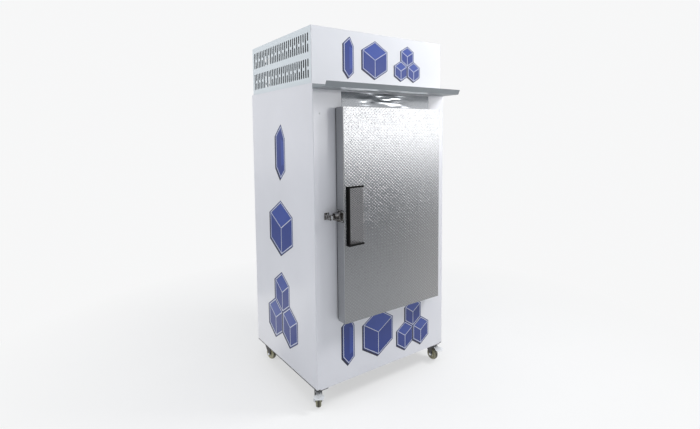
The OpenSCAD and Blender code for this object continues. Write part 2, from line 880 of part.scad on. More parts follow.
module evaporator_fan_motor() {
    y0 = evap_fan_y + fan_hub_l / 2 + 8;
    color("dimgray") on_floor() {
        translate([0, y0, evap_fan_z]) rotate(90)
            fan_motor(motor_d * 0.8, evap_motor_l, fan_shaft_d, y0 - evap_fan_y + fan_hub_l / 2);
        span([-20, 20], [y0 + 10, y0 + 26], [evap_fan_z + motor_d * 0.35, evap_z[1]]);
    }
}

module evaporator_fan() {
    color("gray") on_floor() translate([0, evap_fan_y, evap_fan_z]) rotate(90)
        fan(evaporator_fan_d, fan_hub_d, fan_hub_l, fan_shaft_d);
}

module thermostat_knob() {
    y = evap_y[0] - 0.5;
    color(black_plastic) on_floor() {
        rod_y([knob_x, y - knob_h, evap_fan_z], knob_d, knob_h);
        rod_y([knob_x, y - 0.1, evap_fan_z], knob_shaft_d, knob_shaft_l);
        span([knob_x - 3, knob_x + 3], [y - knob_h - 7, y - knob_h],
            grown([evap_fan_z, evap_fan_z], knob_d / 2 - 1));
    }
}

// ---- Door ----

module door_skin() {
    x = door_x;
    depth = [door_front, door_back];
    color(bare_metal) on_floor() difference() {
        translate([0, 0, door_z[0]]) linear_extrude(door_z[1] - door_z[0]) {
            rect(grown(x, -skin_r), depth);
            rect(x, [depth[0] + skin_r, depth[1]]);
            for (px = grown(x, -skin_r)) translate([px, depth[0] + skin_r]) circle(skin_r);
        }
        span(grown(x, -skin_t), [depth[0] + skin_t, depth[1] + 1], grown(door_z, -skin_t));
        pull_space();
    }
}

// The room that the pull's pocket takes up in the door
module pull_space() {
    translate([0, 0, pull_mid - pull_h / 2 - pull_t]) linear_extrude(pull_h + 2 * pull_t) polygon([
        [pocket_x, door_front + skin_t], [pocket_x, pocket_back], [pull_x[1], door_front],
        [pull_x[0], door_front], [pull_x[0], door_front + skin_t],
    ]);
}

module door_liner() {
    x = grown(door_x, -skin_t);
    z = grown(door_z, -skin_t);
    color(liner_colour) on_floor() {
        span(x, [door_back - skin_t, door_back], z);
    }
}

module door_foam() {
    color(foam_colour) on_floor() difference() {
        span(grown(door_x, -skin_t), [door_front + skin_t, door_back - skin_t], grown(door_z, -skin_t));
        pull_space();
    }
}

module door_gasket() {
    foot = 3;
    bulb = gasket_w - 6;
    x = grown(door_x, -gasket_inset - gasket_w);
    z = grown(door_z, -gasket_inset - gasket_w);
    color("darkslategray") on_floor() {
        ring_xz(x, z, gasket_w, door_back, door_back + foot);
        ring_xz(grown(x, 3), grown(z, 3), bulb, door_back + foot, -seal_gap);
    }
}

module pull_pocket() {
    ahead = door_front - 1;
    floor_y = pocket_back - pocket_skew;
    x = pocket_x + pull_t;
    color(bare_metal) on_floor() difference() {
        pull_space();
        translate([0, 0, pull_mid - pull_h / 2]) linear_extrude(pull_h) polygon([
            [x, ahead], [x, floor_y - pocket_slope * pull_t],
            [pocket_x + (floor_y - ahead) / pocket_slope, ahead],
        ]);
    }
}

// The edge trim frames the pull on three sides and tapers towards the ends of its arms
module pull_trim() {
    x = [pull_x[0] - trim_w, pull_x[1]];
    z = [pull_mid - pull_h / 2 - trim_w, pull_mid + pull_h / 2 + trim_w];
    r = 4;
    color(black_plastic) on_floor() intersection() {
        upright(door_front - trim_proud, door_front) difference() {
            union() {
                rect([x[0] + r, x[1]], z);
                rect(x, grown(z, -r));
                for (pz = grown(z, -r)) translate([x[0] + r, pz]) circle(r);
            }
            rect([pull_x[0], x[1] + 1], grown(z, -trim_w));
        }
        translate([0, 0, z[0] - 1]) linear_extrude(z[1] - z[0] + 2) polygon([
            [x[0] - 1, door_front], [x[0] - 1, door_front - trim_proud],
            [pull_x[0], door_front - trim_proud], [x[1], door_front - trim_end], [x[1], door_front],
        ]);
    }
}

module latch_case() {
    y = [latch_y - latch_plate_w / 2, latch_y + latch_plate_w / 2];
    z = [latch_mid - latch_plate_h / 2, latch_mid + latch_plate_h / 2];
    color("gray") on_floor() {
        difference() {
            union() {
                span([latch_face, door_x[0]], y, z);
                hull() {
                    span([latch_face - 2, latch_face], grown(y, -2 * screw_edge), grown(z, -screw_edge));
                    span([case_tip, case_tip + 2], [latch_y - case_nose_w / 2, latch_y + case_nose_w / 2],
                        [latch_mid - case_nose_h / 2, latch_mid + case_nose_h / 2]);
                }
            }
            rod_x([case_tip - 1, latch_y, latch_mid], plunger_d + 2 * pin_clear, plunger_bore_l + 1);
        }
        for (py = grown(y, -screw_edge)) for (pz = grown(z, -screw_edge))
            rod_x([latch_face - screw_h, py, pz], screw_d, screw_h + 1);
    }
}

module latch_plunger() {
    fork = [roller_x - roller_d / 2 + 4, case_tip - clevis_gap];
    half = roller_l / 2 + turn_gap;
    width = roller_d - 4;
    color(bare_metal) on_floor() translate([0, latch_y, latch_mid]) {
        rod_x([fork[1] - 1, 0, 0], plunger_d, clevis_gap + plunger_l + 1);
        span([fork[1] - 3, fork[1]], [-width / 2, width / 2], [-half - clevis_t, half + clevis_t]);
        for (s = [-1, 1]) span([fork[0], fork[1]], [-width / 2, width / 2],
            s > 0 ? [half, half + clevis_t] : [-half - clevis_t, -half]);
        translate([roller_x, 0, -half - 1]) cylinder(d = roller_pin_d, h = 2 * half + 2);
    }
}

module latch_roller() {
    color("gainsboro") on_floor() translate([roller_x, latch_y, latch_mid - roller_l / 2]) difference() {
        cylinder(d = roller_d, h = roller_l);
        translate([0, 0, -1]) cylinder(d = roller_pin_d + 2 * pin_clear, h = roller_l + 2);
    }
}

// The strike is a folded keeper on the front frame: its post stands beside the roller
module strike() {
    crest = latch_y - roller_d / 2 - 3;
    x = [strike_x - strike_post, strike_x + 22];
    z = [latch_mid - strike_h / 2, latch_mid + strike_h / 2];
    color("gray") on_floor() {
        span(x, [-strike_t, 0], z);
        translate([0, 0, z[0] + 5]) linear_extrude(strike_h - 10) polygon([
            [x[0], -strike_t + 0.5], [x[0], crest - 2], [x[0] + 2, crest - 5], [strike_x - 2, crest - 5],
            [strike_x, crest - 2], [strike_x, crest + 2], [strike_x - 3, crest + 7],
            [strike_x - 3, -strike_t + 0.5],
        ]);
        for (pz = [z[0] + 7, z[1] - 7]) rod_y([x[1] - 8, -strike_t - screw_h, pz], screw_d, screw_h + 1);
    }
}

// ---- Hinges ----

module frame_hinge_leaves() {
    leaf_x = [hinge_x + knuckle_d / 2, hinge_x + knuckle_d / 2 + frame_leaf_w];
    color(bare_metal) on_floor() for (z = hinge_zs) {
        low = [z - hinge_h / 2, z - knuckle_gap / 2];
        span(leaf_x, [-leaf_t, 0], [z - hinge_h / 2, z + hinge_h / 2]);
        difference() {
            span([hinge_x, leaf_x[0] + 6], [hinge_y, -leaf_t + 1], low);
            span([hinge_x - 1, leaf_x[0]], [hinge_y + knuckle_d / 2 + 3, 1], grown(low, 1));
        }
        translate([hinge_x, hinge_y, low[0]]) cylinder(d = knuckle_d, h = low[1] - low[0]);
        translate([hinge_x, hinge_y, z - hinge_h / 2]) cylinder(d = hinge_pin_d, h = hinge_h + 3);
    }
}

module door_hinge_leaves() {
    color(bare_metal) on_floor() for (z = hinge_zs) {
        high = [z + knuckle_gap / 2, z + hinge_h / 2];
        difference() {
            union() {
                span([door_x[1], door_x[1] + leaf_t], [door_front + 5, door_back - 3],
                    [z - hinge_h / 2, z + hinge_h / 2]);
                span([door_x[1] + leaf_t - 1, hinge_x], [hinge_y - 5, hinge_y + 5], high);
                translate([hinge_x, hinge_y, high[0]]) cylinder(d = knuckle_d, h = high[1] - high[0]);
            }
            translate([hinge_x, hinge_y, high[0] - 1])
                cylinder(d = hinge_pin_d + 2 * pin_clear, h = hinge_h);
        }
    }
}

// ---- Base and casters ----

module base_rail() {
    x = [-caster_x - caster_plate_w / 2, -caster_x + caster_plate_w / 2];
    span(x, [8, box_d - 8], [caster_h, caster_h + rail_h]);
}

module left_base_rail() {
    color(dark_paint) on_floor() base_rail();
}

module right_base_rail() {
    color(dark_paint) on_floor() mirror([1, 0, 0]) base_rail();
}

// Places a caster's parts: swivel axis at the origin, trailing towards -Y before it turns
module at_caster(side, y, heading) {
    on_floor() translate([side * caster_x, y, 0]) rotate(heading) children();
}

module caster_plates() {
    color(black_plastic) for (side = [-1, 1]) for (y = [caster_front_y, caster_back_y])
        at_caster(side, y, 0) {
            translate([0, 0, plate_z]) linear_extrude(caster_plate_t)
                square([caster_plate_w, caster_plate_l], center = true);
            translate([0, 0, plate_z - race_h]) cylinder(d = race_d, h = race_h);
            translate([0, 0, crown_z - fork_t - 4]) cylinder(d = kingpin_d, h = race_h + fork_t + 5);
            translate([0, 0, crown_z - fork_t - 4]) cylinder(d = kingpin_d + 8, h = 4 - turn_gap);
            for (x = [-1, 1] * (caster_plate_w / 2 - 9)) for (y = [-1, 1] * (caster_plate_l / 2 - 10))
                translate([x, y, plate_z - bolt_head_h]) cylinder(d = 12, h = bolt_head_h + 1, $fn = 6);
        }
}

// Side view of a fork leg, drawn with the trail along +X and the height along +Y
module leg_outline() {
    hull() {
        translate([caster_trail, axle_z]) circle(leg_r, $fn = 32);
        translate([-race_d / 2 + 8, crown_z - 4]) square([race_d + 6, 4]);
    }
    hull() {
        translate([pivot_u, pivot_z]) circle(6, $fn = 32);
        translate([6, crown_z - 4]) square([26, 4]);
    }
}

module fork(braked) {
    color(zinc) difference() {
        union() {
            translate([0, 0, crown_z - fork_t]) cylinder(d = race_d + 4, h = fork_t);
            span([-leg_gap - fork_t, leg_gap + fork_t], [-30, 10], [crown_z - fork_t, crown_z]);
            for (s = [-1, 1]) translate([s * (leg_gap + fork_t / 2) - fork_t / 2, 0, 0])
                rotate([90, 0, 90]) mirror([1, 0, 0]) linear_extrude(fork_t) leg_outline();
            rod_x([-leg_gap - 1, -caster_trail, axle_z], axle_d, 2 * leg_gap + 2);
            for (s = [-1, 1]) rod_x([s * (leg_gap + fork_t + nut_h / 2) - nut_h / 2,
                -caster_trail, axle_z], nut_d, nut_h, $fn = 6);
            if (braked) rod_x([-leg_gap - 1, -pivot_u, pivot_z], pivot_d, 2 * leg_gap + 2);
        }
        translate([0, 0, crown_z - fork_t - 1]) cylinder(d = kingpin_d + 2 * pin_clear, h = fork_t + 2);
    }
}

// A solid wheel with a hub, hollowed sides and a crowned tread
module wheel() {
    r = wheel_d / 2;
    half = wheel_w / 2;
    color(cream) translate([0, -caster_trail, axle_z]) rotate([0, 90, 0]) difference() {
        rotate_extrude() difference() {
            union() {
                translate([0, -half]) square([axle_d / 2 + 6, wheel_w]);
                translate([0, -half + 4]) square([r - 9, wheel_w - 8]);
                translate([r - 16, -half + 1]) square([9, wheel_w - 2]);
                intersection() {
                    translate([r - 16, -half]) square([16, wheel_w]);
                    translate([r - wheel_w, 0]) circle(wheel_w);
                }
            }
            translate([-1, -half - 1]) square([axle_d / 2 + pin_clear + 1, wheel_w + 2]);
        }
    }
}

// A brake pedal: its root turns on the pin between the fork's legs, its tip is a broad lip
module pedal() {
    half = leg_gap - turn_gap;
    knuckle_r = pivot_d / 2 + pin_clear + knuckle_wall;
    color(bare_metal) translate([0, -pivot_u, pivot_z]) rotate([pedal_slope, 0, 0]) difference() {
        union() {
            rod_x([-half, 0, 0], 2 * knuckle_r, 2 * half);
            translate([0, 0, knuckle_r - pedal_t + 0.5]) linear_extrude(pedal_t) polygon([
                [-half, 18], [half, 18], [half, -16], [pedal_w / 2, -26],
                [pedal_w / 2, -pedal_l + 5], [pedal_w / 2 - 6, -pedal_l],
                [-pedal_w / 2 + 6, -pedal_l], [-pedal_w / 2, -pedal_l + 5],
                [-pedal_w / 2, -26], [-half, -16],
            ]);
            span([-pedal_w / 2 + 6, pedal_w / 2 - 6], [-pedal_l, -pedal_l + pedal_t], [-4, knuckle_r]);
        }
        rod_x([-pedal_w, 0, 0], pivot_d + 2 * pin_clear, 2 * pedal_w);
    }
}

module front_left_fork() {
    at_caster(-1, caster_front_y, front_left_heading) fork(true);
}

module front_left_wheel() {
    at_caster(-1, caster_front_y, front_left_heading) wheel();
}

module front_left_pedal() {
    at_caster(-1, caster_front_y, front_left_heading) pedal();
}

module front_right_fork() {
    at_caster(1, caster_front_y, front_right_heading) fork(true);
}

module front_right_wheel() {
    at_caster(1, caster_front_y, front_right_heading) wheel();
}

module front_right_pedal() {
    at_caster(1, caster_front_y, front_right_heading) pedal();
}

module rear_left_fork() {
    at_caster(-1, caster_back_y, rear_left_heading) fork(false);
}

module rear_left_wheel() {
    at_caster(-1, caster_back_y, rear_left_heading) wheel();
}

module rear_right_fork() {
    at_caster(1, caster_back_y, rear_right_heading) fork(false);
}

module rear_right_wheel() {
    at_caster(1, caster_back_y, rear_right_heading) wheel();
}

left_side_panel();
right_side_panel();
back_panel();
front_frame();
top_deck();
bottom_pan();
insulation();
inner_liner();
opening_frame();
trim_plate();
visor();
header_front_panel();
header_left_vent();
header_right_vent();
header_back_grille();
header_top_cover();
left_base_rail();
right_base_rail();
caster_plates();
strike();
frame_hinge_leaves();
machine_tray();
compressor();
condenser_coil();
fan_shroud();
condenser_fan_motor();
condenser_fan();
control_box();
refrigerant_lines();
line_grommet();
evaporator_housing();
evaporator_coil();
evaporator_fan_motor();
evaporator_fan();
thermostat_knob();
drain_pipe();
cord_gland();
door_skin();
door_foam();
door_liner();
door_gasket();
door_hinge_leaves();
pull_pocket();
pull_trim();
latch_case();
latch_plunger();
latch_roller();
front_left_fork();
front_left_wheel();
front_left_pedal();
front_right_fork();
front_right_wheel();
front_right_pedal();
rear_left_fork();
rear_left_wheel();
rear_right_fork();
rear_right_wheel();
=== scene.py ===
import math

import bmesh
import bpy
from mathutils import Matrix, Vector


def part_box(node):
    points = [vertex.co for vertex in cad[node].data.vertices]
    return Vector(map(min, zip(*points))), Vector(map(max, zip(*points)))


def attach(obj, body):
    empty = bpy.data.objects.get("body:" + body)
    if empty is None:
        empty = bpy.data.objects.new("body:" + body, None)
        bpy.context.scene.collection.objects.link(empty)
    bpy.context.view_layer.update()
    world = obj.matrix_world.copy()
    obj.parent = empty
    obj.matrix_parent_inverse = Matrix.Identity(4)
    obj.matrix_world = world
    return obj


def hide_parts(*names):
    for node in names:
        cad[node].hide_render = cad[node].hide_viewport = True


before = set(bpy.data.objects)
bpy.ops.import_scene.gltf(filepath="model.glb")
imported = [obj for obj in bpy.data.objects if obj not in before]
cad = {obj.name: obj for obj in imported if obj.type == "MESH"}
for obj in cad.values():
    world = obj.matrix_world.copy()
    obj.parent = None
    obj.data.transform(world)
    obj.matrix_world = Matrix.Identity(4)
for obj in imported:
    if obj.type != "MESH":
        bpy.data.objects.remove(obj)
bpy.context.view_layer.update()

MM = 0.001
# The way each caster points at rest, in degrees
CASTERS = {"front_left": -28, "front_right": 2, "rear_left": 14, "rear_right": 152}
CAMERA = Vector((-1.6384, -2.1906, 1.4722))
DOOR_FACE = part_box("door_skin")[0].y
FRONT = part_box("front_frame")[0].y
PALE = (0.93, 0.932, 0.935)  # background and far floor


# ---- Shader maths ----

class Value:
    """A node's output that can stand in a sum, a product or a comparison."""

    def __init__(self, finish, socket):
        self.finish = finish
        self.socket = socket

    def maths(self, operation, *others, clamp=False):
        settings = {"operation": operation, "use_clamp": clamp}
        return self.finish.add("ShaderNodeMath", settings, [self, *others])

    def __add__(self, other):
        return self.maths("ADD", other)

    def __radd__(self, other):
        return self.maths("ADD", other)

    def __sub__(self, other):
        return self.maths("SUBTRACT", other)

    def __rsub__(self, other):
        return (self * -1) + other

    def __mul__(self, other):
        return self.maths("MULTIPLY", other)

    def __rmul__(self, other):
        return self.maths("MULTIPLY", other)

    def __truediv__(self, other):
        return self.maths("DIVIDE", other)

    def __gt__(self, other):
        return self.maths("GREATER_THAN", other)

    def __lt__(self, other):
        return self.maths("LESS_THAN", other)

    def clamped(self):
        return self.maths("MULTIPLY", 1, clamp=True)

    def whole(self):
        return self.maths("FLOOR")

    def magnitude(self):
        return self.maths("ABSOLUTE")

    def between(self, low, high):
        """0 at low, 1 at high, straight between them."""
        return ((self - low) / (high - low)).clamped()


class Finish:
    """A material under construction: one Principled shader and what feeds it."""

    def __init__(self, name, base, rough, metallic=0.0, **fixed):
        self.material = bpy.data.materials.new(name)
        self.material.use_nodes = True
        self.tree = self.material.node_tree
        self.shader = self.tree.nodes["Principled BSDF"]
        self.put(self.shader.inputs["Base Color"], (*base, 1))
        self.put(self.shader.inputs["Roughness"], rough)
        self.put(self.shader.inputs["Metallic"], metallic)
        for key, value in fixed.items():
            self.put(self.shader.inputs[key.replace("_", " ")], value)
        self.place = self.add("ShaderNodeTexCoord", {}, {}, out="Object")

    def put(self, socket, value):
        if isinstance(value, Value):
            self.tree.links.new(value.socket, socket)
        elif value is not None:
            socket.default_value = value

    def add(self, kind, settings, values, out=0):
        """A node of any kind, with its settings and what its sockets hold, as its output."""
        node = self.tree.nodes.new(kind)
        for key, setting in settings.items():
            setattr(node, key, setting)
        sockets = values.items() if isinstance(values, dict) else enumerate(values)
        for key, value in sockets:
            self.put(node.inputs[key], value)
        return Value(self, node.outputs[out])

    def stretched(self, scale):
        return self.add("ShaderNodeMapping", {}, {"Vector": self.place, "Scale": scale})

    def noise(self, size, detail=2.0, rough=0.5, place=None):
        """Clouds whose spots are about size metres across."""
        return self.add("ShaderNodeTexNoise", {}, {
            "Vector": place or self.place, "Scale": 1 / size, "Detail": detail, "Roughness": rough})

    def cells(self, size):
        """Cells about size metres across, each with a colour of its own."""
        return self.add("ShaderNodeTexVoronoi", {}, {"Vector": self.place, "Scale": 1 / size},
                        out="Color")

    def mix(self, factor, first, second):
        """A colour between two colours."""
        first_socket, second_socket, result = 6, 7, 2  # the ones that carry colours
        node = self.tree.nodes.new("ShaderNodeMix")
        node.data_type = "RGBA"
        self.put(node.inputs["Factor"], factor)
        for socket, colour in ((first_socket, first), (second_socket, second)):
            self.put(node.inputs[socket], colour if isinstance(colour, Value) else (*colour, 1))
        return Value(self, node.outputs[result])

    def axis(self, letter):
        return self.add("ShaderNodeSeparateXYZ", {}, [self.place], out=letter)

    def bump(self, height, depth):
        """Raises the surface by depth metres where height is 1."""
        self.put(self.shader.inputs["Normal"], self.add("ShaderNodeBump", {}, {
            "Strength": 1.0, "Distance": depth, "Height": height}))

    def feed(self, name, value):
        self.put(self.shader.inputs[name], value)


def scaled(colour, by):
    return tuple(min(1, c * by) for c in colour)


# ---- Finishes ----

def within(f, low, high):
    """1 inside a box given by two corners, 0 outside it."""
    inside = 1
    for letter, a, b in zip("XYZ", low, high):
        inside = (f.axis(letter) > a) * (f.axis(letter) < b) * inside
    return inside


def rivet_rows(f, x, first, pitch, radius=4.2 * MM):
    """Domes in a row up each side of the sheet: 1 at a rivet's top, 0 off it."""
    across = f.axis("X").magnitude() - x
    along = (f.axis("Z") - first) / pitch
    along = (along - (along + 0.5).whole()) * pitch
    return (1 - (across * across + along * along) / (radius * radius)).clamped()


def powder_coat(name, colour, rough=0.3, undercoat_and_shade_box=None, cool_sides=None, rivets=None):
    """Painted sheet: faint orange peel, a little cloudiness and darker blotches towards the bottom.
    undercoat_and_shade_box gives the corners of the box inside which the sheet shows near-black
    undercoat that is also painted shade, cool_sides the distance from the middle past which the
    paint is cooler, rivets a row as (x, first z, pitch), each rivet with a painted shade ring."""
    peel, peel_depth = 1.6 * MM, 0.03 * MM
    undercoat_and_shade = (0.035, 0.036, 0.038)
    f = Finish(name, colour, rough, Coat_Roughness=0.12)
    clouds = f.noise(0.35, 3)
    near_floor = 1 - f.axis("Z").between(0.1, 0.45)
    # Darker blotches in the paint towards the bottom
    low_blotches = (f.noise(0.06, 5, 0.65) * near_floor).between(0.42, 1.0)
    tone = f.mix(clouds.between(0.3, 0.7), scaled(colour, 0.975), scaled(colour, 1.015))
    paint = f.mix(low_blotches * 0.25, tone, scaled(colour, 0.8))
    surface, depth = f.noise(peel, 1), peel_depth
    if cool_sides:
        cooler = (colour[0] * 0.9, colour[1] * 0.97, colour[2] * 0.97)
        paint = f.mix((f.axis("X").magnitude() > cool_sides) * 0.9, paint, cooler)
    # Near-black undercoat inside the box, which is also painted shade inside the header
    if undercoat_and_shade_box:
        paint = f.mix(within(f, *undercoat_and_shade_box), paint, undercoat_and_shade)
    if rivets:
        dome = rivet_rows(f, *rivets)
        # Painted shade: a dark ring on each rivet's slope
        ring = (dome * (1 - dome) * 4).between(0.0, 1.0)
        paint = f.mix(ring * 0.35, paint, scaled(colour, 0.35))
        surface, depth = dome * 12 + surface, peel_depth * 3
    f.feed("Base Color", paint)
    f.feed("Roughness", f.noise(0.02, 2) * 0.08 + (rough - 0.04))
    f.feed("Coat Weight", 0.35 - clouds * 0.15)
    f.bump(surface, depth)
    return f.material


def embossed_metal(name, colour, face, pitch=17.8 * MM, depth=0.7 * MM):
    """Door sheet: short raised bars laid crosswise in turn, on metal with a soft rolled sheen.
    Behind the depth named face, where the sheet is folded round, the bars are nearly flat."""
    f = Finish(name, colour, 0.3, 1.0)
    x, z = f.axis("X"), f.axis("Z")
    along, across = (x * 0.8 + z) / pitch, (x * 0.8 - z) / pitch
    odd = (along.whole() + across.whole()).maths("FLOORED_MODULO", 2)
    u = (along - along.whole() - 0.5).magnitude()
    v = (across - across.whole() - 0.5).magnitude()
    bar_u = (1 - v * 3.0).clamped() * (1.6 - u * 3.2).clamped()
    bar_v = (1 - u * 3.0).clamped() * (1.6 - v * 3.2).clamped()
    bars = bar_u + odd * (bar_v - bar_u)
    worn = f.noise(0.014, 2, 0.6).between(0.3, 0.7)
    in_front = f.axis("Y").between(face + 0.4 * MM, face)
    height = bars * (worn * 0.7 + 0.3) * (in_front * 0.9 + 0.1) + f.noise(0.006, 2) * 0.22
    patterned = f.mix(bars, scaled(colour, 0.86), scaled(colour, 1.1))
    # Painted light: behind the face, on the door's folded sides, the colour is 1.7 times lighter
    f.feed("Base Color", f.mix(in_front, scaled(colour, 1.7), patterned))
    f.feed("Roughness", f.noise(0.05, 3) * 0.06 + 0.2)
    f.bump(height, depth)
    return f.material


def chrome_with_painted_glints(name, dark, bright, rough=0.16):
    """Thin chrome over castings: dark, with bright spots of painted highlight, on a slightly uneven
    surface.
    """
    f = Finish(name, dark, rough, 1.0)
    # Painted highlights: bright spots mixed into the dark chrome
    spots = f.noise(0.012, 1).between(0.38, 0.68)
    f.feed("Base Color", f.mix(spots, dark, bright))
    f.feed("Roughness", f.noise(0.02, 3) * 0.1 + (rough - 0.05))
    f.bump(f.noise(0.012, 1), 0.0012)
    return f.material


def wavy_steel(name, colour, lean, wave, middle):
    """Mirror-bright trim that leans back a little and is buckled between the screws."""
    f = Finish(name, colour, 0.1, 1.0)
    lines = f.noise(0.0004, 2, place=f.stretched((0.01, 1, 1)))
    buckled = 1 - f.axis("X").magnitude().between(middle * 0.45, middle)
    swell = f.noise(0.05, 1, place=f.stretched((0.3, 1, 1.5)))
    f.feed("Base Color", f.mix(lines, scaled(colour, 0.94), scaled(colour, 1.05)))
    f.feed("Roughness", lines * 0.04 + 0.15)
    f.bump(swell * buckled * wave - f.axis("Z") * lean, 1.0)
    return f.material


def brushed_metal(name, colour, rough=0.3, along="Z", streak=0.0004, metallic=1.0):
    """Rolled or brushed metal: fine lines along one axis and faint handling marks."""
    f = Finish(name, colour, rough, metallic)
    stretch = {"X": (0.01, 1, 1), "Z": (1, 1, 0.01)}[along]
    lines = f.noise(streak, 2, place=f.stretched(stretch))
    marks = f.noise(0.03, 4, 0.6)
    f.feed("Base Color", f.mix(lines, scaled(colour, 0.9), scaled(colour, 1.06)))
    f.feed("Roughness", lines * 0.1 + marks * 0.12 + (rough - 0.1))
    f.bump(lines, 0.00001)
    return f.material


def galvanised_metal(name, colour):
    """Zinc spangle: flat crystals of slightly different tone."""
    f = Finish(name, colour, 0.4, 0.85)
    spangle = f.cells(0.014)
    grey = f.add("ShaderNodeRGBToBW", {}, [spangle])
    frost = f.noise(0.002, 2)
    f.feed("Base Color", f.mix(grey, scaled(colour, 0.78), scaled(colour, 1.1)))
    f.feed("Roughness", grey * 0.18 + frost * 0.1 + 0.28)
    f.bump(frost, 0.00002)
    return f.material


def moulded(name, colour, rough=0.45, grain=0.0012, depth=0.00005, shine=0.06, glint=0.5):
    """Moulded plastic or rubber: fine grain and worn, slightly shinier patches."""
    f = Finish(name, colour, rough, Specular_IOR_Level=glint)
    patches = f.noise(0.04, 3)
    f.feed("Base Color", f.mix(patches, scaled(colour, 0.85), scaled(colour, 1.2)))
    f.feed("Roughness", patches * shine * 2 + (rough - shine))
    f.bump(f.noise(grain, 2), depth)
    return f.material


def enamel(name, colour, rough=0.3):
    """Stove enamel on castings and pressings, with a light dusting on it."""
    dust_grey = (0.35, 0.34, 0.32)
    f = Finish(name, colour, rough)
    dust = f.noise(0.05, 5, 0.7).between(0.45, 0.8)
    f.feed("Base Color", f.mix(dust * 0.25, colour, dust_grey))
    f.feed("Roughness", dust * 0.25 + rough)
    f.bump(f.noise(0.0025, 2), 0.00006)
    return f.material


def tarnished_copper(name, colour):
    tarnish = (0.38, 0.2, 0.13)
    f = Finish(name, colour, 0.25, 1.0)
    stain = f.noise(0.02, 4, 0.6).between(0.4, 0.75)
    f.feed("Base Color", f.mix(stain, colour, tarnish))
    f.feed("Roughness", stain * 0.25 + 0.2)
    f.bump(f.noise(0.004, 2), 0.00003)
    return f.material


def printed_film(name, colour, rough=0.35):
    """Cut vinyl on the panels: even colour with a faint leather in the film."""
    f = Finish(name, colour, rough, Coat_Roughness=0.2)
    film = f.noise(0.25, 2)
    f.feed("Base Color", f.mix(film, scaled(colour, 0.93), scaled(colour, 1.08)))
    f.feed("Roughness", f.noise(0.01, 2) * 0.06 + (rough - 0.03))
    f.bump(f.noise(0.0011, 1), 0.00001)
    return f.material


SHEET_BACK = 1.15 * MM  # just short of the back of a 1.2 mm sheet
BACK_LOW, BACK_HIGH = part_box("back_panel")
VENT_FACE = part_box("header_right_vent")[1].x


def header_space(aside, ahead):
    """Corners of a space in the header: aside is its distance from the header's sides, ahead from
    its front and back. It ends just short of the cover's inside and just under the header's foot."""
    low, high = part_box("header_left_vent")[0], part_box("header_top_cover")[1]
    return ((low.x + aside, low.y + ahead, low.z - 1 * MM),
            (high.x - aside, high.y - ahead, high.z - SHEET_BACK))


CABINET_PAINT = (0.66, 0.665, 0.705)
HEADER_PAINT = (0.66, 0.67, 0.705)
WHITE = powder_coat("white_powder_coat", CABINET_PAINT)
# Inside faces near-black: undercoat and painted shade inside the header; on the vents the box
# reaches just under the outer face, so the slots' cut edges are painted shade too
HEADER_WHITE = powder_coat("white_outside_undercoat_and_painted_shade_inside", HEADER_PAINT,
                           undercoat_and_shade_box=header_space(SHEET_BACK, SHEET_BACK))
VENT_WHITE = powder_coat("cool_white_outside_undercoat_and_painted_shade_inside", HEADER_PAINT,
                         undercoat_and_shade_box=header_space(0.05 * MM, 4.5 * MM), cool_sides=VENT_FACE - 0.4 * MM)
RIVETED_WHITE = powder_coat("riveted_white", CABINET_PAINT,
                            rivets=(BACK_HIGH.x - 13.5 * MM, BACK_LOW.z + 40 * MM, 110 * MM))
LINER_WHITE = powder_coat("liner_white", (0.72, 0.74, 0.76), rough=0.35)
VISOR_GREY = powder_coat("visor_grey", (0.205, 0.228, 0.245), rough=0.4)
BLACK_ENAMEL = enamel("black_enamel", (0.012, 0.012, 0.013))
COMPRESSOR_BLACK = enamel("compressor_black", (0.016, 0.016, 0.018), rough=0.28)
DOOR_METAL = embossed_metal("embossed_door_sheet", (0.262, 0.266, 0.272), face=DOOR_FACE + 0.8 * MM)
BRIGHT_STEEL = wavy_steel("bright_trim_steel", (0.36, 0.375, 0.395), lean=0.115, wave=0.0085,
                          middle=0.22)
PULL_STEEL = embossed_metal("pull_sheet", (0.255, 0.252, 0.256), face=BACK_HIGH.y, pitch=12 * MM,
                            depth=0.8 * MM)
ZINC = brushed_metal("bright_zinc", (0.52, 0.54, 0.56), rough=0.34, along="X", streak=0.0015)
# Painted light: a lighter, less metallic zinc for the pedals and axle nuts, lifting their shaded
# tops
LIGHTENED_ZINC = brushed_metal("satin_zinc_painted_lighter", (0.80, 0.82, 0.85), rough=0.45, along="X", streak=0.003,
                           metallic=0.45)
GALVANISED = galvanised_metal("galvanised_sheet", (0.20, 0.205, 0.21))
DARK_CHROME = chrome_with_painted_glints("dark_chrome", (0.085, 0.077, 0.071), (0.42, 0.41, 0.40))
BLACK_PLASTIC = moulded("black_plastic", (0.008, 0.008, 0.009), rough=0.45)
PULL_BLACK = moulded("pull_black", (0.001, 0.001, 0.0012), rough=0.6, shine=0.02, glint=0.12)
GREY_PLASTIC = moulded("grey_plastic", (0.22, 0.23, 0.24), rough=0.42)
GASKET_RUBBER = moulded("gasket_rubber", (0.03, 0.032, 0.035), rough=0.6, grain=0.0008)
FOAM = moulded("foam", (0.72, 0.58, 0.30), rough=0.9, grain=0.003, depth=0.0004)
COPPER = tarnished_copper("tarnished_copper", (0.80, 0.42, 0.28))
FINS = brushed_metal("fin_aluminium", (0.30, 0.31, 0.32), rough=0.35, along="Z", streak=0.001)
BLACK_FINS = moulded("black_fins", (0.03, 0.031, 0.033), rough=0.55, glint=0.25)
WHEEL_CREAM = moulded("wheel_cream", (0.36, 0.34, 0.215), rough=0.35, grain=0.002, depth=0.00003)
TREAD_DARK = moulded("tread_dark", (0.045, 0.036, 0.022), rough=0.5)
RIM_OLIVE = moulded("rim_olive", (0.17, 0.165, 0.11), rough=0.42)
BLUE_FILM = printed_film("blue_film", (0.011, 0.032, 0.20))
PALE_BLUE_FILM = printed_film("pale_blue_film", (0.024, 0.056, 0.28))
NAVY_FILM = printed_film("navy_film", (0.004, 0.005, 0.030))
SILVER_FILM = printed_film("silver_film", (0.55, 0.58, 0.66), rough=0.3)

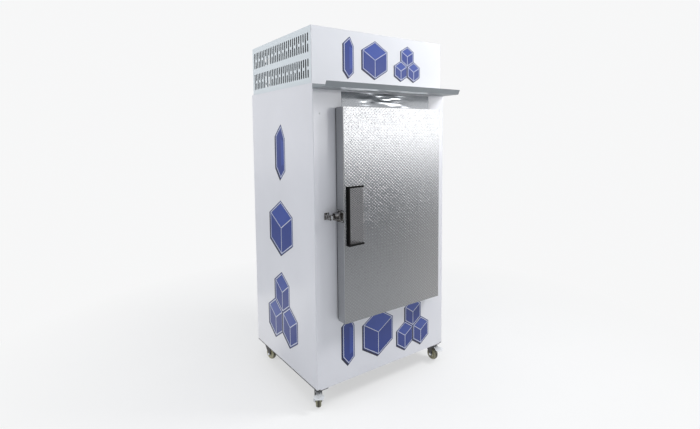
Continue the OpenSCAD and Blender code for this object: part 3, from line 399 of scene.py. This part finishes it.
NODE_FINISH = {
    WHITE: "left_side_panel right_side_panel front_frame",
    RIVETED_WHITE: "back_panel",
    HEADER_WHITE: "header_front_panel header_back_grille header_top_cover",
    VENT_WHITE: "header_left_vent header_right_vent",
    LINER_WHITE: "inner_liner door_liner evaporator_housing",
    VISOR_GREY: "visor",
    BLACK_ENAMEL: "bottom_pan left_base_rail right_base_rail caster_plates front_left_fork "
                  "front_right_fork rear_left_fork rear_right_fork condenser_fan_motor "
                  "evaporator_fan_motor",
    COMPRESSOR_BLACK: "compressor",
    DOOR_METAL: "door_skin",
    BRIGHT_STEEL: "trim_plate",
    PULL_STEEL: "pull_pocket",
    ZINC: "frame_hinge_leaves door_hinge_leaves latch_roller",
    LIGHTENED_ZINC: "front_left_pedal front_right_pedal",
    GALVANISED: "top_deck machine_tray fan_shroud control_box",
    DARK_CHROME: "latch_case latch_plunger strike",
    BLACK_PLASTIC: "opening_frame line_grommet thermostat_knob drain_pipe cord_gland",
    PULL_BLACK: "pull_trim",
    GREY_PLASTIC: "condenser_fan evaporator_fan",
    GASKET_RUBBER: "door_gasket",
    FOAM: "insulation door_foam",
    COPPER: "refrigerant_lines",
    FINS: "evaporator_coil",
    BLACK_FINS: "condenser_coil",
    WHEEL_CREAM: "front_left_wheel front_right_wheel rear_left_wheel rear_right_wheel",
}


def dress_nodes():
    for finish, names in NODE_FINISH.items():
        for name in names.split():
            mesh = cad[name].data
            mesh.materials.clear()
            mesh.materials.append(finish)


# ---- Pieces ----

def piece(name, mesh, body, slot, *materials):
    """Puts a finished mesh into the scene, riding on a body."""
    obj = bpy.data.objects.new(name, mesh)
    bpy.context.scene.collection.objects.link(obj)
    for m in materials:
        mesh.materials.append(m)
    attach(obj, body)
    return obj


def to_mesh(name, bm):
    mesh = bpy.data.meshes.new(name)
    bmesh.ops.recalc_face_normals(bm, faces=bm.faces)
    bm.to_mesh(mesh)
    bm.free()
    return mesh


def grow(points, by):
    """A convex outline moved outwards by a distance, its corners kept sharp."""
    count = len(points)
    result = []
    for i in range(count):
        before, here, after = (Vector(points[(i + k) % count]) for k in (-1, 0, 1))
        first = (here - before).normalized()
        second = (after - here).normalized()
        out_1 = Vector((first.y, -first.x))
        out_2 = Vector((second.y, -second.x))
        bisector = (out_1 + out_2).normalized()
        result.append(tuple(here + bisector * (by / max(0.3, bisector.dot(out_1)))))
    return result


def prism(bm, outline, low, high, place, material=0, hole=None):
    """A thin plate from an outline, round a hole with as many corners if one is given. place turns
    (across, up, out) in mm into a point in metres."""
    rings = []
    for level in (low, high):
        rings.append([bm.verts.new(place(u, v, level)) for u, v in outline])
    count = len(outline)
    made = []
    if hole is None:
        made += [bm.faces.new(rings[1]), bm.faces.new(list(reversed(rings[0])))]
    else:
        inner = [[bm.verts.new(place(u, v, level)) for u, v in hole] for level in (low, high)]
        for i in range(count):
            j = (i + 1) % count
            made.append(bm.faces.new([rings[1][i], rings[1][j], inner[1][j], inner[1][i]]))
            made.append(bm.faces.new([rings[0][j], rings[0][i], inner[0][i], inner[0][j]]))
            made.append(bm.faces.new([inner[0][j], inner[0][i], inner[1][i], inner[1][j]]))
    for i in range(count):
        j = (i + 1) % count
        made.append(bm.faces.new([rings[0][i], rings[0][j], rings[1][j], rings[1][i]]))
    for face in made:
        face.material_index = material


# ---- Ice pictures: outlines run anticlockwise, in mm across and up ----

FILM = 0.12  # thickness of the film in mm


def stroke(bm, a, b, wide, place, level):
    """A straight line of film between two points."""
    a, b = Vector(a), Vector(b)
    side = (b - a).normalized() * (wide / 2)
    side = Vector((-side.y, side.x))
    corners = [a - side, b - side, b + side, a + side]
    prism(bm, [tuple(c) for c in corners], level, level + FILM, place, 3)


def ice_shape(bm, outline, place, shadow, line, order=0):
    """One block of ice: cast shadow, blue face, and a silver line inside its edge."""
    base = order * 3 * FILM
    cast = [(u - shadow, v - shadow * 0.7) for u, v in grow(outline, line * 0.6)]
    prism(bm, cast, base, base + FILM, place, 1)
    prism(bm, grow(outline, line * 0.4), base + 0.3 * FILM, base + 1.3 * FILM, place, 1)
    prism(bm, outline, base + FILM, base + 2 * FILM, place, 0)
    prism(bm, grow(outline, -line), base + 1.5 * FILM, base + 2.5 * FILM, place, 3,
          hole=grow(outline, -2 * line))


def ice_shard(bm, u0, u1, v0, v1, place, shadow, line):
    """A tall crystal, pointed at both ends."""
    mid, tip = (u0 + u1) / 2, (u1 - u0) * 0.55
    wide = u1 - u0
    outline = [(mid, v0), (u1, v0 + tip * 0.8), (u1, v1 - tip * 1.3), (mid + wide * 0.12, v1),
               (u0, v1 - tip), (u0, v0 + tip * 1.1)]
    ice_shape(bm, outline, place, shadow, line)
    level = 2 * FILM
    facet = [(mid + wide * 0.08, v0 + tip * 1.25), (u1 - 2.6 * line, v0 + tip * 1.5),
             (u1 - 2.6 * line, v1 - tip * 1.6), (mid + wide * 0.08, v1 - tip * 1.35)]
    prism(bm, facet, level, level + FILM, place, 2)


def ice_cube(bm, cu, cv, radius, place, shadow, line, order=0, squash=1.0):
    """A cube of ice seen from a corner."""
    corner = [(cu + radius * math.cos(math.radians(a)),
               cv + squash * radius * math.sin(math.radians(a))) for a in range(-90, 270, 60)]
    ice_shape(bm, corner, place, shadow, line, order)
    level = (order * 3 + 2) * FILM
    inner = grow(corner, -2.4 * line)
    centre = (cu, cv)
    top = [centre, inner[2], inner[3], inner[4]]
    prism(bm, grow(top, -line * 0.5), level - 0.5 * FILM, level + 0.5 * FILM, place, 2)
    for k in (0, 2, 4):
        stroke(bm, centre, inner[k], line * 0.9, place, level)


def ice_pictures(name, place, shard, cube, pile, shadow, line):
    """Three pictures: a tall crystal (left, right, low, high), then one cube and a pile of cubes
    (across, up, radius, height share), with the width of their cast shadow and silver line."""
    bm = bmesh.new()
    ice_shard(bm, *shard, place, shadow, line)
    cu, cv, radius, squash = cube
    ice_cube(bm, cu, cv, radius, place, shadow, line, squash=squash)
    cu, cv, radius, squash = pile
    stack = [(0, 0.75), (-0.88, -0.75), (0.88, -0.75)]
    for order, (du, dv) in enumerate(stack):
        ice_cube(bm, cu + du * radius, cv + dv * radius * squash, radius, place, shadow * 0.8, line,
                 order, squash)
    piece(name, to_mesh(name, bm), "cabinet", "white_paint",
          BLUE_FILM, NAVY_FILM, PALE_BLUE_FILM, SILVER_FILM)


def make_pictures():
    header_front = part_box("header_front_panel")[0].y
    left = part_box("left_side_panel")[0].x

    def on_header(u, v, out):
        return (u * MM, header_front - out * MM, v * MM)

    def on_front(u, v, out):
        return (u * MM, FRONT - out * MM, v * MM)

    def on_left(u, v, out):
        return (left - out * MM, FRONT - u * MM, v * MM)

    ice_pictures("header_pictures", on_header, shard=(-272, -206, 1786, 2004),
                 cube=(-55, 1895, 104, 1.0), pile=(192, 1893, 58, 1.0), shadow=7, line=3.2)
    # The front's pictures end below the door's gasket
    ice_pictures("lower_front_pictures", on_front, shard=(-312, -232, 202, 474),
                 cube=(-56, 330, 128, 1.08), pile=(222, 318, 76, 1.16), shadow=8, line=3.6)
    ice_pictures("side_pictures", on_left, shard=(-424, -312, 1228, 1544),
                 cube=(-378, 936, 162, 1.0), pile=(-382, 452, 104, 1.18), shadow=10, line=5)


# ---- Repeated small parts ----

def tree_of(name, inputs):
    """A geometry tree with named inputs, as (tree, input node, output node)."""
    tree = bpy.data.node_groups.new(name, "GeometryNodeTree")
    tree.interface.new_socket("Geometry", in_out="INPUT", socket_type="NodeSocketGeometry")
    for key, (kind, value) in inputs.items():
        socket = tree.interface.new_socket(key, in_out="INPUT", socket_type=kind)
        if value is not None:
            socket.default_value = value
    tree.interface.new_socket("Geometry", in_out="OUTPUT", socket_type="NodeSocketGeometry")
    return tree, tree.nodes.new("NodeGroupInput"), tree.nodes.new("NodeGroupOutput")


def grown_mesh(name, tree, values, seed_mesh):
    """Runs a geometry tree over a seed mesh and returns the plain mesh."""
    host = bpy.data.objects.new(name + "_host", seed_mesh)
    bpy.context.scene.collection.objects.link(host)
    modifier = host.modifiers.new("repeat", "NODES")
    modifier.node_group = tree
    sockets = {s.name: s.identifier for s in tree.interface.items_tree if s.in_out == "INPUT"}
    for key, value in values.items():
        modifier[sockets[key]] = value
    bpy.context.view_layer.update()
    evaluated = host.evaluated_get(bpy.context.evaluated_depsgraph_get())
    mesh = bpy.data.meshes.new_from_object(evaluated)
    mesh.name = name
    host.modifiers.remove(modifier)
    bpy.data.objects.remove(host)
    return mesh


def repeat_tree(name):
    """Copies of one shape on every point of the seed mesh, turned one way."""
    tree, given, result = tree_of(name, {
        "Shape": ("NodeSocketObject", None), "Turn": ("NodeSocketVector", (0, 0, 0)),
        "Size": ("NodeSocketFloat", 1.0), "Finish": ("NodeSocketMaterial", None)})
    link = tree.links.new
    shape = tree.nodes.new("GeometryNodeObjectInfo")
    link(given.outputs["Shape"], shape.inputs["Object"])
    copies = tree.nodes.new("GeometryNodeInstanceOnPoints")
    link(given.outputs["Geometry"], copies.inputs["Points"])
    link(shape.outputs["Geometry"], copies.inputs["Instance"])
    link(given.outputs["Turn"], copies.inputs["Rotation"])
    link(given.outputs["Size"], copies.inputs["Scale"])
    real = tree.nodes.new("GeometryNodeRealizeInstances")
    link(copies.outputs["Instances"], real.inputs["Geometry"])
    coat = tree.nodes.new("GeometryNodeSetMaterial")
    link(real.outputs["Geometry"], coat.inputs["Geometry"])
    link(given.outputs["Finish"], coat.inputs["Material"])
    link(coat.outputs["Geometry"], result.inputs["Geometry"])
    return tree


REPEAT = repeat_tree("copies_on_points")


def point_mesh(name, points):
    mesh = bpy.data.meshes.new(name)
    mesh.from_pydata([tuple(p) for p in points], [], [])
    return mesh


def copies(name, points, shape_mesh, turn, body, slot, finish):
    """One piece made of copies of a shape at every point."""
    shape = bpy.data.objects.new(name + "_shape", shape_mesh)
    bpy.context.scene.collection.objects.link(shape)
    mesh = grown_mesh(name, REPEAT, {"Shape": shape, "Turn": turn, "Size": 1.0, "Finish": finish},
                      point_mesh(name + "_points", points))
    bpy.data.objects.remove(shape)
    piece(name, mesh, body, slot)


def revolve(profile, steps):
    """A closed shape turned about Z from (radius, height) pairs in mm."""
    bm = bmesh.new()
    angles = [2 * math.pi * i / steps for i in range(steps)]
    circle = [(math.cos(a) * MM, math.sin(a) * MM) for a in angles]
    rings = []
    for radius, height in profile:
        points = circle if radius > 0 else [(0, 0)]
        rings.append([bm.verts.new((x * radius, y * radius, height * MM)) for x, y in points])
    for low, high in zip(rings, rings[1:]):
        for i in range(steps):
            j = (i + 1) % steps
            corners = [low[i % len(low)], low[j % len(low)],
                       high[j % len(high)], high[i % len(high)]]
            unique = list(dict.fromkeys(corners))
            if len(unique) > 2:
                bm.faces.new(unique)
    return bm


TURN_FRONT = (math.radians(90), 0, 0)
TURN_BACK = (math.radians(-90), 0, 0)
TURN_LEFT = (0, math.radians(-90), 0)
TURN_RIGHT = (0, math.radians(90), 0)
TURN_UP = (0, 0, 0)


def pairs(firsts, seconds):
    return [(a, b) for a in firsts for b in seconds]


def screws(name, spots, radius, turn, body="cabinet"):
    """Pan heads of the radius in mm, each with a round recess, at every spot."""
    bm = revolve([(0, 0), (radius, 0), (radius, 0.7), (radius * 0.86, 1.6), (radius * 0.5, 2.2),
                  (radius * 0.36, 2.25), (radius * 0.26, 1.1), (0, 1.0)], 16)
    copies(name, spots, to_mesh("screw_head", bm), turn, body, "zinc", ZINC)


def header_screws():
    low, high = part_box("header_back_grille")
    inset, edge, columns = 20 * MM, 14 * MM, 6
    step = (high.x - low.x - 2 * inset) / (columns - 1)
    xs = [low.x + inset + step * i for i in range(columns)]
    spots = [(x, high.y, z) for x, z in pairs(xs, (low.z + edge, high.z - edge))]
    screws("grille_screws", spots, 4.0, TURN_BACK)
    low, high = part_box("header_top_cover")
    inset, sunk = 30 * MM, 2.3 * MM
    xs, ys = (low.x + inset, 0, high.x - inset), (low.y + inset, high.y - inset)
    spots = [(x, y, high.z - sunk) for x, y in pairs(xs, ys)]
    screws("cover_screws", spots, 4.0, TURN_UP)


def hinge_screws():
    low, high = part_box("frame_hinge_leaves")
    door_low, door_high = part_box("door_hinge_leaves")
    leaf, edge = 3 * MM, 8 * MM
    door_ys = (door_low.y + edge, door_high.y - edge)
    frame_xs = (high.x - 32.5 * MM, high.x - 9.5 * MM)
    for name, middle in (("lower", low.z + 38 * MM), ("upper", high.z - 41 * MM)):
        door_zs = (middle - 24 * MM, middle + 24 * MM)
        frame_zs = (middle - 26 * MM, middle + 26 * MM)
        spots = [(door_low.x + leaf, y, z) for y, z in pairs(door_ys, door_zs)]
        screws(f"door_hinge_screws_{name}", spots, 3.4, TURN_RIGHT, body="door")
        spots = [(x, FRONT - leaf, z) for x, z in pairs(frame_xs, frame_zs)]
        screws(f"frame_hinge_screws_{name}", spots, 3.4, TURN_FRONT)


def latch_and_strike_screws():
    low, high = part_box("latch_case")
    edge, sunk = 7 * MM, 5 * MM
    ys, zs = (low.y + edge, high.y - edge), (low.z + edge, high.z - edge)
    spots = [(high.x - sunk, y, z) for y, z in pairs(ys, zs)]
    screws("latch_screws", spots, 3.8, TURN_LEFT, body="door")
    low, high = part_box("strike")
    foot_x, foot_y = high.x - 8 * MM, FRONT - 3.5 * MM
    spots = [(foot_x, foot_y, z) for z in (low.z + edge, high.z - edge)]
    screws("strike_screws", spots, 3.8, TURN_FRONT)


def make_screws():
    low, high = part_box("trim_plate")
    edge = 9 * MM
    spots = [(low.x + edge, low.y, low.z + 21 * MM), (high.x - edge, low.y, low.z + 43 * MM)]
    screws("trim_plate_screws", spots, 3.4, TURN_FRONT)
    low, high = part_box("front_frame")
    screws("fascia_plug", [(low.x + 18.5 * MM, FRONT, high.z - 154 * MM)], 4.2, TURN_FRONT)
    header_screws()
    hinge_screws()
    latch_and_strike_screws()


# ---- Wheels ----

def on_axle(corner, side=90):
    """Puts a shape turned about Z on a caster's axle, its top to one side."""
    low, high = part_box(corner + "_wheel")
    heading = Matrix.Rotation(math.radians(CASTERS[corner]), 4, "Z")
    lying = Matrix.Rotation(math.radians(side), 4, "Y")
    return Matrix.Translation((low + high) / 2) @ heading @ lying


def make_wheels():
    """Cream centres with ribs round the hub and a dark crowned tread."""
    half = 15.0  # half the width in mm
    ribs = [(5.4, half), (11, half), (12, half - 2.5), (22, half - 4), (25, half - 1.2),
            (30, half - 0.8), (33.5, half - 2.2), (35.4, half - 5), (36.3, half - 8.5)]
    band, band_inside, rim_inside = 5 * MM, 30 * MM, 33.2 * MM
    for corner in CASTERS:
        low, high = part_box(corner + "_wheel")
        radius = (high.z - low.z) / 2 / MM
        upper = ribs + [(36.5, half - 9), (37.2, 4), (radius, 0)]
        profile = upper + [(r, -h) for r, h in reversed(upper[:-1])] + [upper[0]]
        bm = revolve(profile, 48)
        bmesh.ops.remove_doubles(bm, verts=bm.verts, dist=1e-6)
        for face in bm.faces:
            middle = face.calc_center_median()
            out = math.hypot(middle.x, middle.y)
            if abs(middle.z) < band and out > band_inside:
                face.material_index = 1
            elif out > rim_inside:
                face.material_index = 2
        bm.transform(on_axle(corner))
        name = corner + "_rolling_wheel"
        obj = piece(name, to_mesh(name, bm), corner + "_roll", "wheel_cream",
                    WHEEL_CREAM, TREAD_DARK, RIM_OLIVE)
        for face in obj.data.polygons:
            face.use_smooth = True
        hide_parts(corner + "_wheel")


def make_axle_nuts():
    """Nuts with the axle's end, over both ends of each caster's axle."""
    fork_face = 19.55 * MM  # outside of the fork's arms, from the middle of the wheel
    for corner in CASTERS:
        whole = bmesh.new()
        for side in (90, -90):
            nut = revolve([(0, 0), (8.3, 0), (8.3, 6.2), (7.2, 7.0), (0, 7.05)], 6)
            end = revolve([(0, 6.5), (3.6, 6.5), (3.6, 7.2), (3.0, 7.6), (0, 7.6)], 16)
            for part in (nut, end):
                part.transform(on_axle(corner, side) @ Matrix.Translation((0, 0, fork_face)))
                shape = to_mesh("axle_nut", part)
                whole.from_mesh(shape)
                bpy.data.meshes.remove(shape)
        name = corner + "_axle_nuts"
        piece(name, to_mesh(name, whole), corner + "_swivel", "zinc", LIGHTENED_ZINC)


# ---- Coils ----

def box_between(bm, low, high):
    corners = [bm.verts.new((x, y, z)) for x in (low[0], high[0]) for y in (low[1], high[1])
               for z in (low[2], high[2])]
    for quad in ((0, 1, 3, 2), (4, 6, 7, 5), (0, 4, 5, 1),
                 (2, 3, 7, 6), (0, 2, 6, 4), (1, 5, 7, 3)):
        bm.faces.new([corners[k] for k in quad])


def make_fins(name, node, along, finish):
    """Thin fins over the coil's solid, in a row along the axis named."""
    cut, pitch, half_thick, proud = 24 * MM, 3.2 * MM, 0.2 * MM, 0.1 * MM
    low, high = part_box(node)
    axis = "xyz".index(along)
    start, end = low[axis] + cut, high[axis] - cut
    size = [(high[k] - low[k]) / 2 + proud for k in range(3)]
    size[axis] = half_thick
    bm = bmesh.new()
    box_between(bm, [-s for s in size], size)
    count = int((end - start) / pitch)
    points = []
    for i in range(count):
        p = (low + high) / 2
        p[axis] = start + (i + 0.5) * (end - start) / count
        points.append(p)
    copies(name, points, to_mesh(name + "_fin", bm), TURN_UP, "cabinet", "coil_fins", finish)


# ---- Fan guards and the dial ----

def wire(bm, path, radius, closed=False):
    """A round wire along a path of points in metres."""
    sides = 6
    count = len(path)
    rings = []
    for i, at in enumerate(path):
        before = path[i - 1] if (closed or i > 0) else path[i]
        after = path[(i + 1) % count] if (closed or i < count - 1) else path[i]
        ahead = (after - before).normalized()
        helper = Vector((0, 0, 1)) if abs(ahead.z) < 0.9 else Vector((1, 0, 0))
        side = ahead.cross(helper).normalized()
        up = side.cross(ahead)
        rings.append([bm.verts.new(at + (side * math.cos(a) + up * math.sin(a)) * radius)
                      for a in (2 * math.pi * k / sides for k in range(sides))])
    last = count if closed else count - 1
    for i in range(last):
        first, second = rings[i], rings[(i + 1) % count]
        for k in range(sides):
            bm.faces.new([first[k], first[(k + 1) % sides], second[(k + 1) % sides], second[k]])
    if not closed:
        bm.faces.new(list(reversed(rings[0])))
        bm.faces.new(rings[-1])


def make_guard(name, centre, facing, radius, proud):
    """A wire guard in front of a fan: rings held by four spokes, domed by proud metres."""
    ring_wire, spoke_wire, rings, steps = 1.1 * MM, 1.4 * MM, 6, 48
    ring_lift, spoke_lift = 1.6 * MM, 3.6 * MM
    centre, out, up = Vector(centre), Vector(facing), Vector((0, 0, 1))
    across = up.cross(out)

    def dome(r):
        return proud * math.sqrt(max(0.0, 1 - min(1, r / radius) ** 2))

    def spot(r, a, lift):
        return centre + (across * math.cos(a) + up * math.sin(a)) * r + out * (dome(r) + lift)

    bm = bmesh.new()
    for i in range(rings):
        r = radius * (0.22 + 0.78 * i / (rings - 1))
        circle = [spot(r, 2 * math.pi * k / steps, ring_lift) for k in range(steps)]
        wire(bm, circle, ring_wire, closed=True)
    for a in (45, 135, 225, 315):
        reach = [radius * (0.15 + 0.93 * i / 8) for i in range(9)]
        wire(bm, [spot(r, math.radians(a), spoke_lift) for r in reach], spoke_wire)
    piece(name, to_mesh(name, bm), "cabinet", "zinc", ZINC)


def make_guards():
    low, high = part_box("evaporator_fan")
    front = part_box("evaporator_housing")[0].y
    make_guard("evaporator_guard", (0, front, (low.z + high.z) / 2), (0, -1, 0),
               radius=83 * MM, proud=12 * MM)
    low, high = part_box("condenser_fan")
    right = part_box("fan_shroud")[1].x
    make_guard("condenser_guard", (right, (low.y + high.y) / 2, (low.z + high.z) / 2), (1, 0, 0),
               radius=102 * MM, proud=0)


def make_dial():
    """Ticks round the thermostat knob and a pointer line on its grip."""
    low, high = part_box("thermostat_knob")
    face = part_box("evaporator_housing")[0].y
    cx, cz = (low.x + high.x) / 2, (low.z + high.z) / 2
    foot, half = 22, 0.5  # where a tick starts and half its width, in mm
    ticks, first, step = 11, 240, 30  # angles in degrees

    def on_face(u, v, out):
        return (cx + u * MM, face - out * MM, cz + v * MM)

    bm = bmesh.new()
    for i in range(ticks):
        a = math.radians(first - step * i)
        tip = foot + (5.0 if i % 5 == 0 else 3.0)
        tick = [(foot, -half), (tip, -half), (tip, half), (foot, half)]
        turned = [(u * math.cos(a) - v * math.sin(a), u * math.sin(a) + v * math.cos(a))
                  for u, v in tick]
        prism(bm, turned, 0, 0.2, on_face)
    piece("dial_ticks", to_mesh("dial_ticks", bm), "cabinet", "black_plastic", NAVY_FILM)
    wide, proud = 0.8 * MM, 0.2 * MM
    bm = bmesh.new()
    box_between(bm, (cx - wide, low.y - proud, cz + 4 * MM),
                (cx + wide, low.y + 1 * MM, cz + 16.5 * MM))
    piece("knob_pointer", to_mesh("knob_pointer", bm), "knob", "black_plastic", SILVER_FILM)


# ---- Studio ----

def rays(finish, *kinds):
    """1 for the named kinds of ray, 0 for the rest."""
    total = 0
    for kind in kinds:
        total = finish.add("ShaderNodeLightPath", {}, {}, out=f"Is {kind} Ray") + total
    return total.clamped()


def beside_door(finish):
    """0 in what the door's middle mirrors to the camera, 1 in what its right edge mirrors."""
    behind = 2 * DOOR_FACE - CAMERA.y  # the camera as the door mirrors it
    x, y = finish.axis("X"), finish.axis("Y")
    return ((x - CAMERA.x) / (behind - y)).between(0.93, 1.10)


class Sky(Finish):
    """World nodes, built with the same calls as a material's."""

    def __init__(self, world):
        world.use_nodes = True
        self.tree = world.node_tree
        self.tree.nodes.clear()


def make_world():
    """Cool and dim as a light, but a pale wall to the camera and in reflections."""
    world = bpy.data.worlds.new("studio")
    bpy.context.scene.world = world
    sky = Sky(world)
    light = sky.add("ShaderNodeBackground", {}, {"Color": (0.93, 0.96, 1.0, 1), "Strength": 0.5})
    pale = sky.add("ShaderNodeBackground", {}, {"Color": (*PALE, 1), "Strength": 1.0})
    seen = rays(sky, "Camera", "Glossy", "Transmission")
    both = sky.add("ShaderNodeMixShader", {}, [seen, light, pale])
    output = sky.tree.nodes.new("ShaderNodeOutputWorld")
    sky.put(output.inputs["Surface"], both)


def floor_paint():
    """Pale floor that fades into the background with distance, and glows in what the door's
    right edge mirrors."""
    f = Finish("floor_paint", (0.80, 0.805, 0.81), 0.9)
    f.feed("Base Color", f.mix(f.noise(0.4, 2), (0.78, 0.785, 0.79), (0.82, 0.825, 0.83)))
    distance = f.add("ShaderNodeVectorMath", {"operation": "LENGTH"}, [f.place], out="Value")
    far = distance.between(0.9, 2.6)
    glow = f.add("ShaderNodeEmission", {}, {"Color": (*PALE, 1), "Strength": 1.0})
    mixed = f.add("ShaderNodeMixShader", {}, [
        rays(f, "Camera") * (0.6 + far * 0.4), Value(f, f.shader.outputs[0]), glow])
    sheen = f.add("ShaderNodeEmission", {}, {"Color": (1.0, 0.99, 0.975, 1), "Strength": 1.3})
    lit = f.add("ShaderNodeMixShader", {}, [rays(f, "Glossy") * beside_door(f), mixed, sheen])
    f.put(f.tree.nodes["Material Output"].inputs["Surface"], lit)
    return f.material


def stage_sheet(name, corners, finish):
    """A four-cornered sheet that belongs to the studio."""
    mesh = bpy.data.meshes.new(name)
    mesh.from_pydata(corners, [], [(0, 1, 2, 3)])
    mesh.materials.append(finish)
    sheet = bpy.data.objects.new(name, mesh)
    bpy.context.scene.collection.objects.link(sheet)
    return sheet


def make_floor():
    r = 14.0
    stage_sheet("studio_floor", [(-r, -r, 0), (r, -r, 0), (r, r, 0), (-r, r, 0)], floor_paint())


def lamp(name, place, aim, size, power, mirrored=False):
    data = bpy.data.lights.new(name, "AREA")
    data.shape = "RECTANGLE"
    data.size, data.size_y = size
    data.energy = power
    obj = bpy.data.objects.new(name, data)
    bpy.context.scene.collection.objects.link(obj)
    ahead = (Vector(aim) - Vector(place)).normalized()
    obj.location = place
    obj.rotation_mode = "QUATERNION"
    obj.rotation_quaternion = ahead.to_track_quat("-Z", "Y")
    obj.visible_camera = False
    obj.visible_glossy = mirrored
    return obj


def make_lamps():
    lamp("right_key", (2.2, -1.7, 3.1), (0.0, -0.3, 1.4), (1.0, 1.0), 84)
    lamp("overhead_softbox", (-0.6, -1.15, 4.2), (0.0, 0.0, 1.0), (3.0, 1.2), 45)
    lamp("left_fill", (-3.3, 1.0, 2.5), (0.0, 0.1, 1.2), (2.0, 2.0), 42)
    panel = lamp("door_panel_light", (3.3, -4.0, 1.78), (0.0, -0.4, 1.5), (3.8, 1.2), 70,
                 mirrored=True)
    panel.visible_diffuse = False


def card_paint():
    """Grey to the left and pale to the right, brighter in what the door's right edge mirrors."""
    f = Finish("card_paint", (0.1, 0.11, 0.13), 0.9, Emission_Strength=0.9)
    height = f.axis("Z").between(0.0, 1.0)
    near = f.mix(height, (0.45, 0.45, 0.45), (0.23, 0.27, 0.36))
    far = f.mix(height, (0.92, 0.92, 0.92), (0.76, 0.80, 0.90))
    f.feed("Base Color", f.mix(f.axis("X").between(2.2, 4.4), near, far))
    f.feed("Emission Color", f.mix(beside_door(f), (0, 0, 0), (1, 1, 1)))
    return f.material


def make_card():
    """A card low in front of the lamp, there only to be mirrored by the door."""
    left, right, y, top = 0.4, 7.0, -4.3, 1.12
    card = stage_sheet("grey_card", [(left, y, 0), (right, y, 0), (right, y, top), (left, y, top)],
                       card_paint())
    card.visible_camera = card.visible_diffuse = card.visible_shadow = False


def make_camera():
    """Camera at the photograph's angle: heading, tilt and roll in degrees."""
    heading, tilt, roll = (math.radians(a) for a in (33.625, -4.332, -0.784))
    ahead = Vector((math.sin(heading) * math.cos(tilt), math.cos(heading) * math.cos(tilt),
                    math.sin(tilt)))
    level = ahead.cross(Vector((0, 0, 1))).normalized()
    steep = level.cross(ahead)
    right = level * math.cos(roll) + steep * math.sin(roll)
    up = steep * math.cos(roll) - level * math.sin(roll)
    data = bpy.data.cameras.new("camera")
    data.sensor_width = 36
    data.lens = 22.182
    data.shift_x = 0.02996
    data.shift_y = -0.06461
    camera = bpy.data.objects.new("camera", data)
    bpy.context.scene.collection.objects.link(camera)
    turn = Matrix((right, up, -ahead)).transposed().to_4x4()
    camera.matrix_world = Matrix.Translation(CAMERA) @ turn
    bpy.context.scene.camera = camera


bpy.context.scene.view_settings.view_transform = "Standard"
make_camera()
dress_nodes()
make_pictures()
make_screws()
make_wheels()
make_axle_nuts()
make_fins("condenser_fins", "condenser_coil", "y", BLACK_FINS)
make_fins("evaporator_fins", "evaporator_coil", "x", FINS)
make_guards()
make_dial()
make_world()
make_floor()
make_lamps()
make_card()
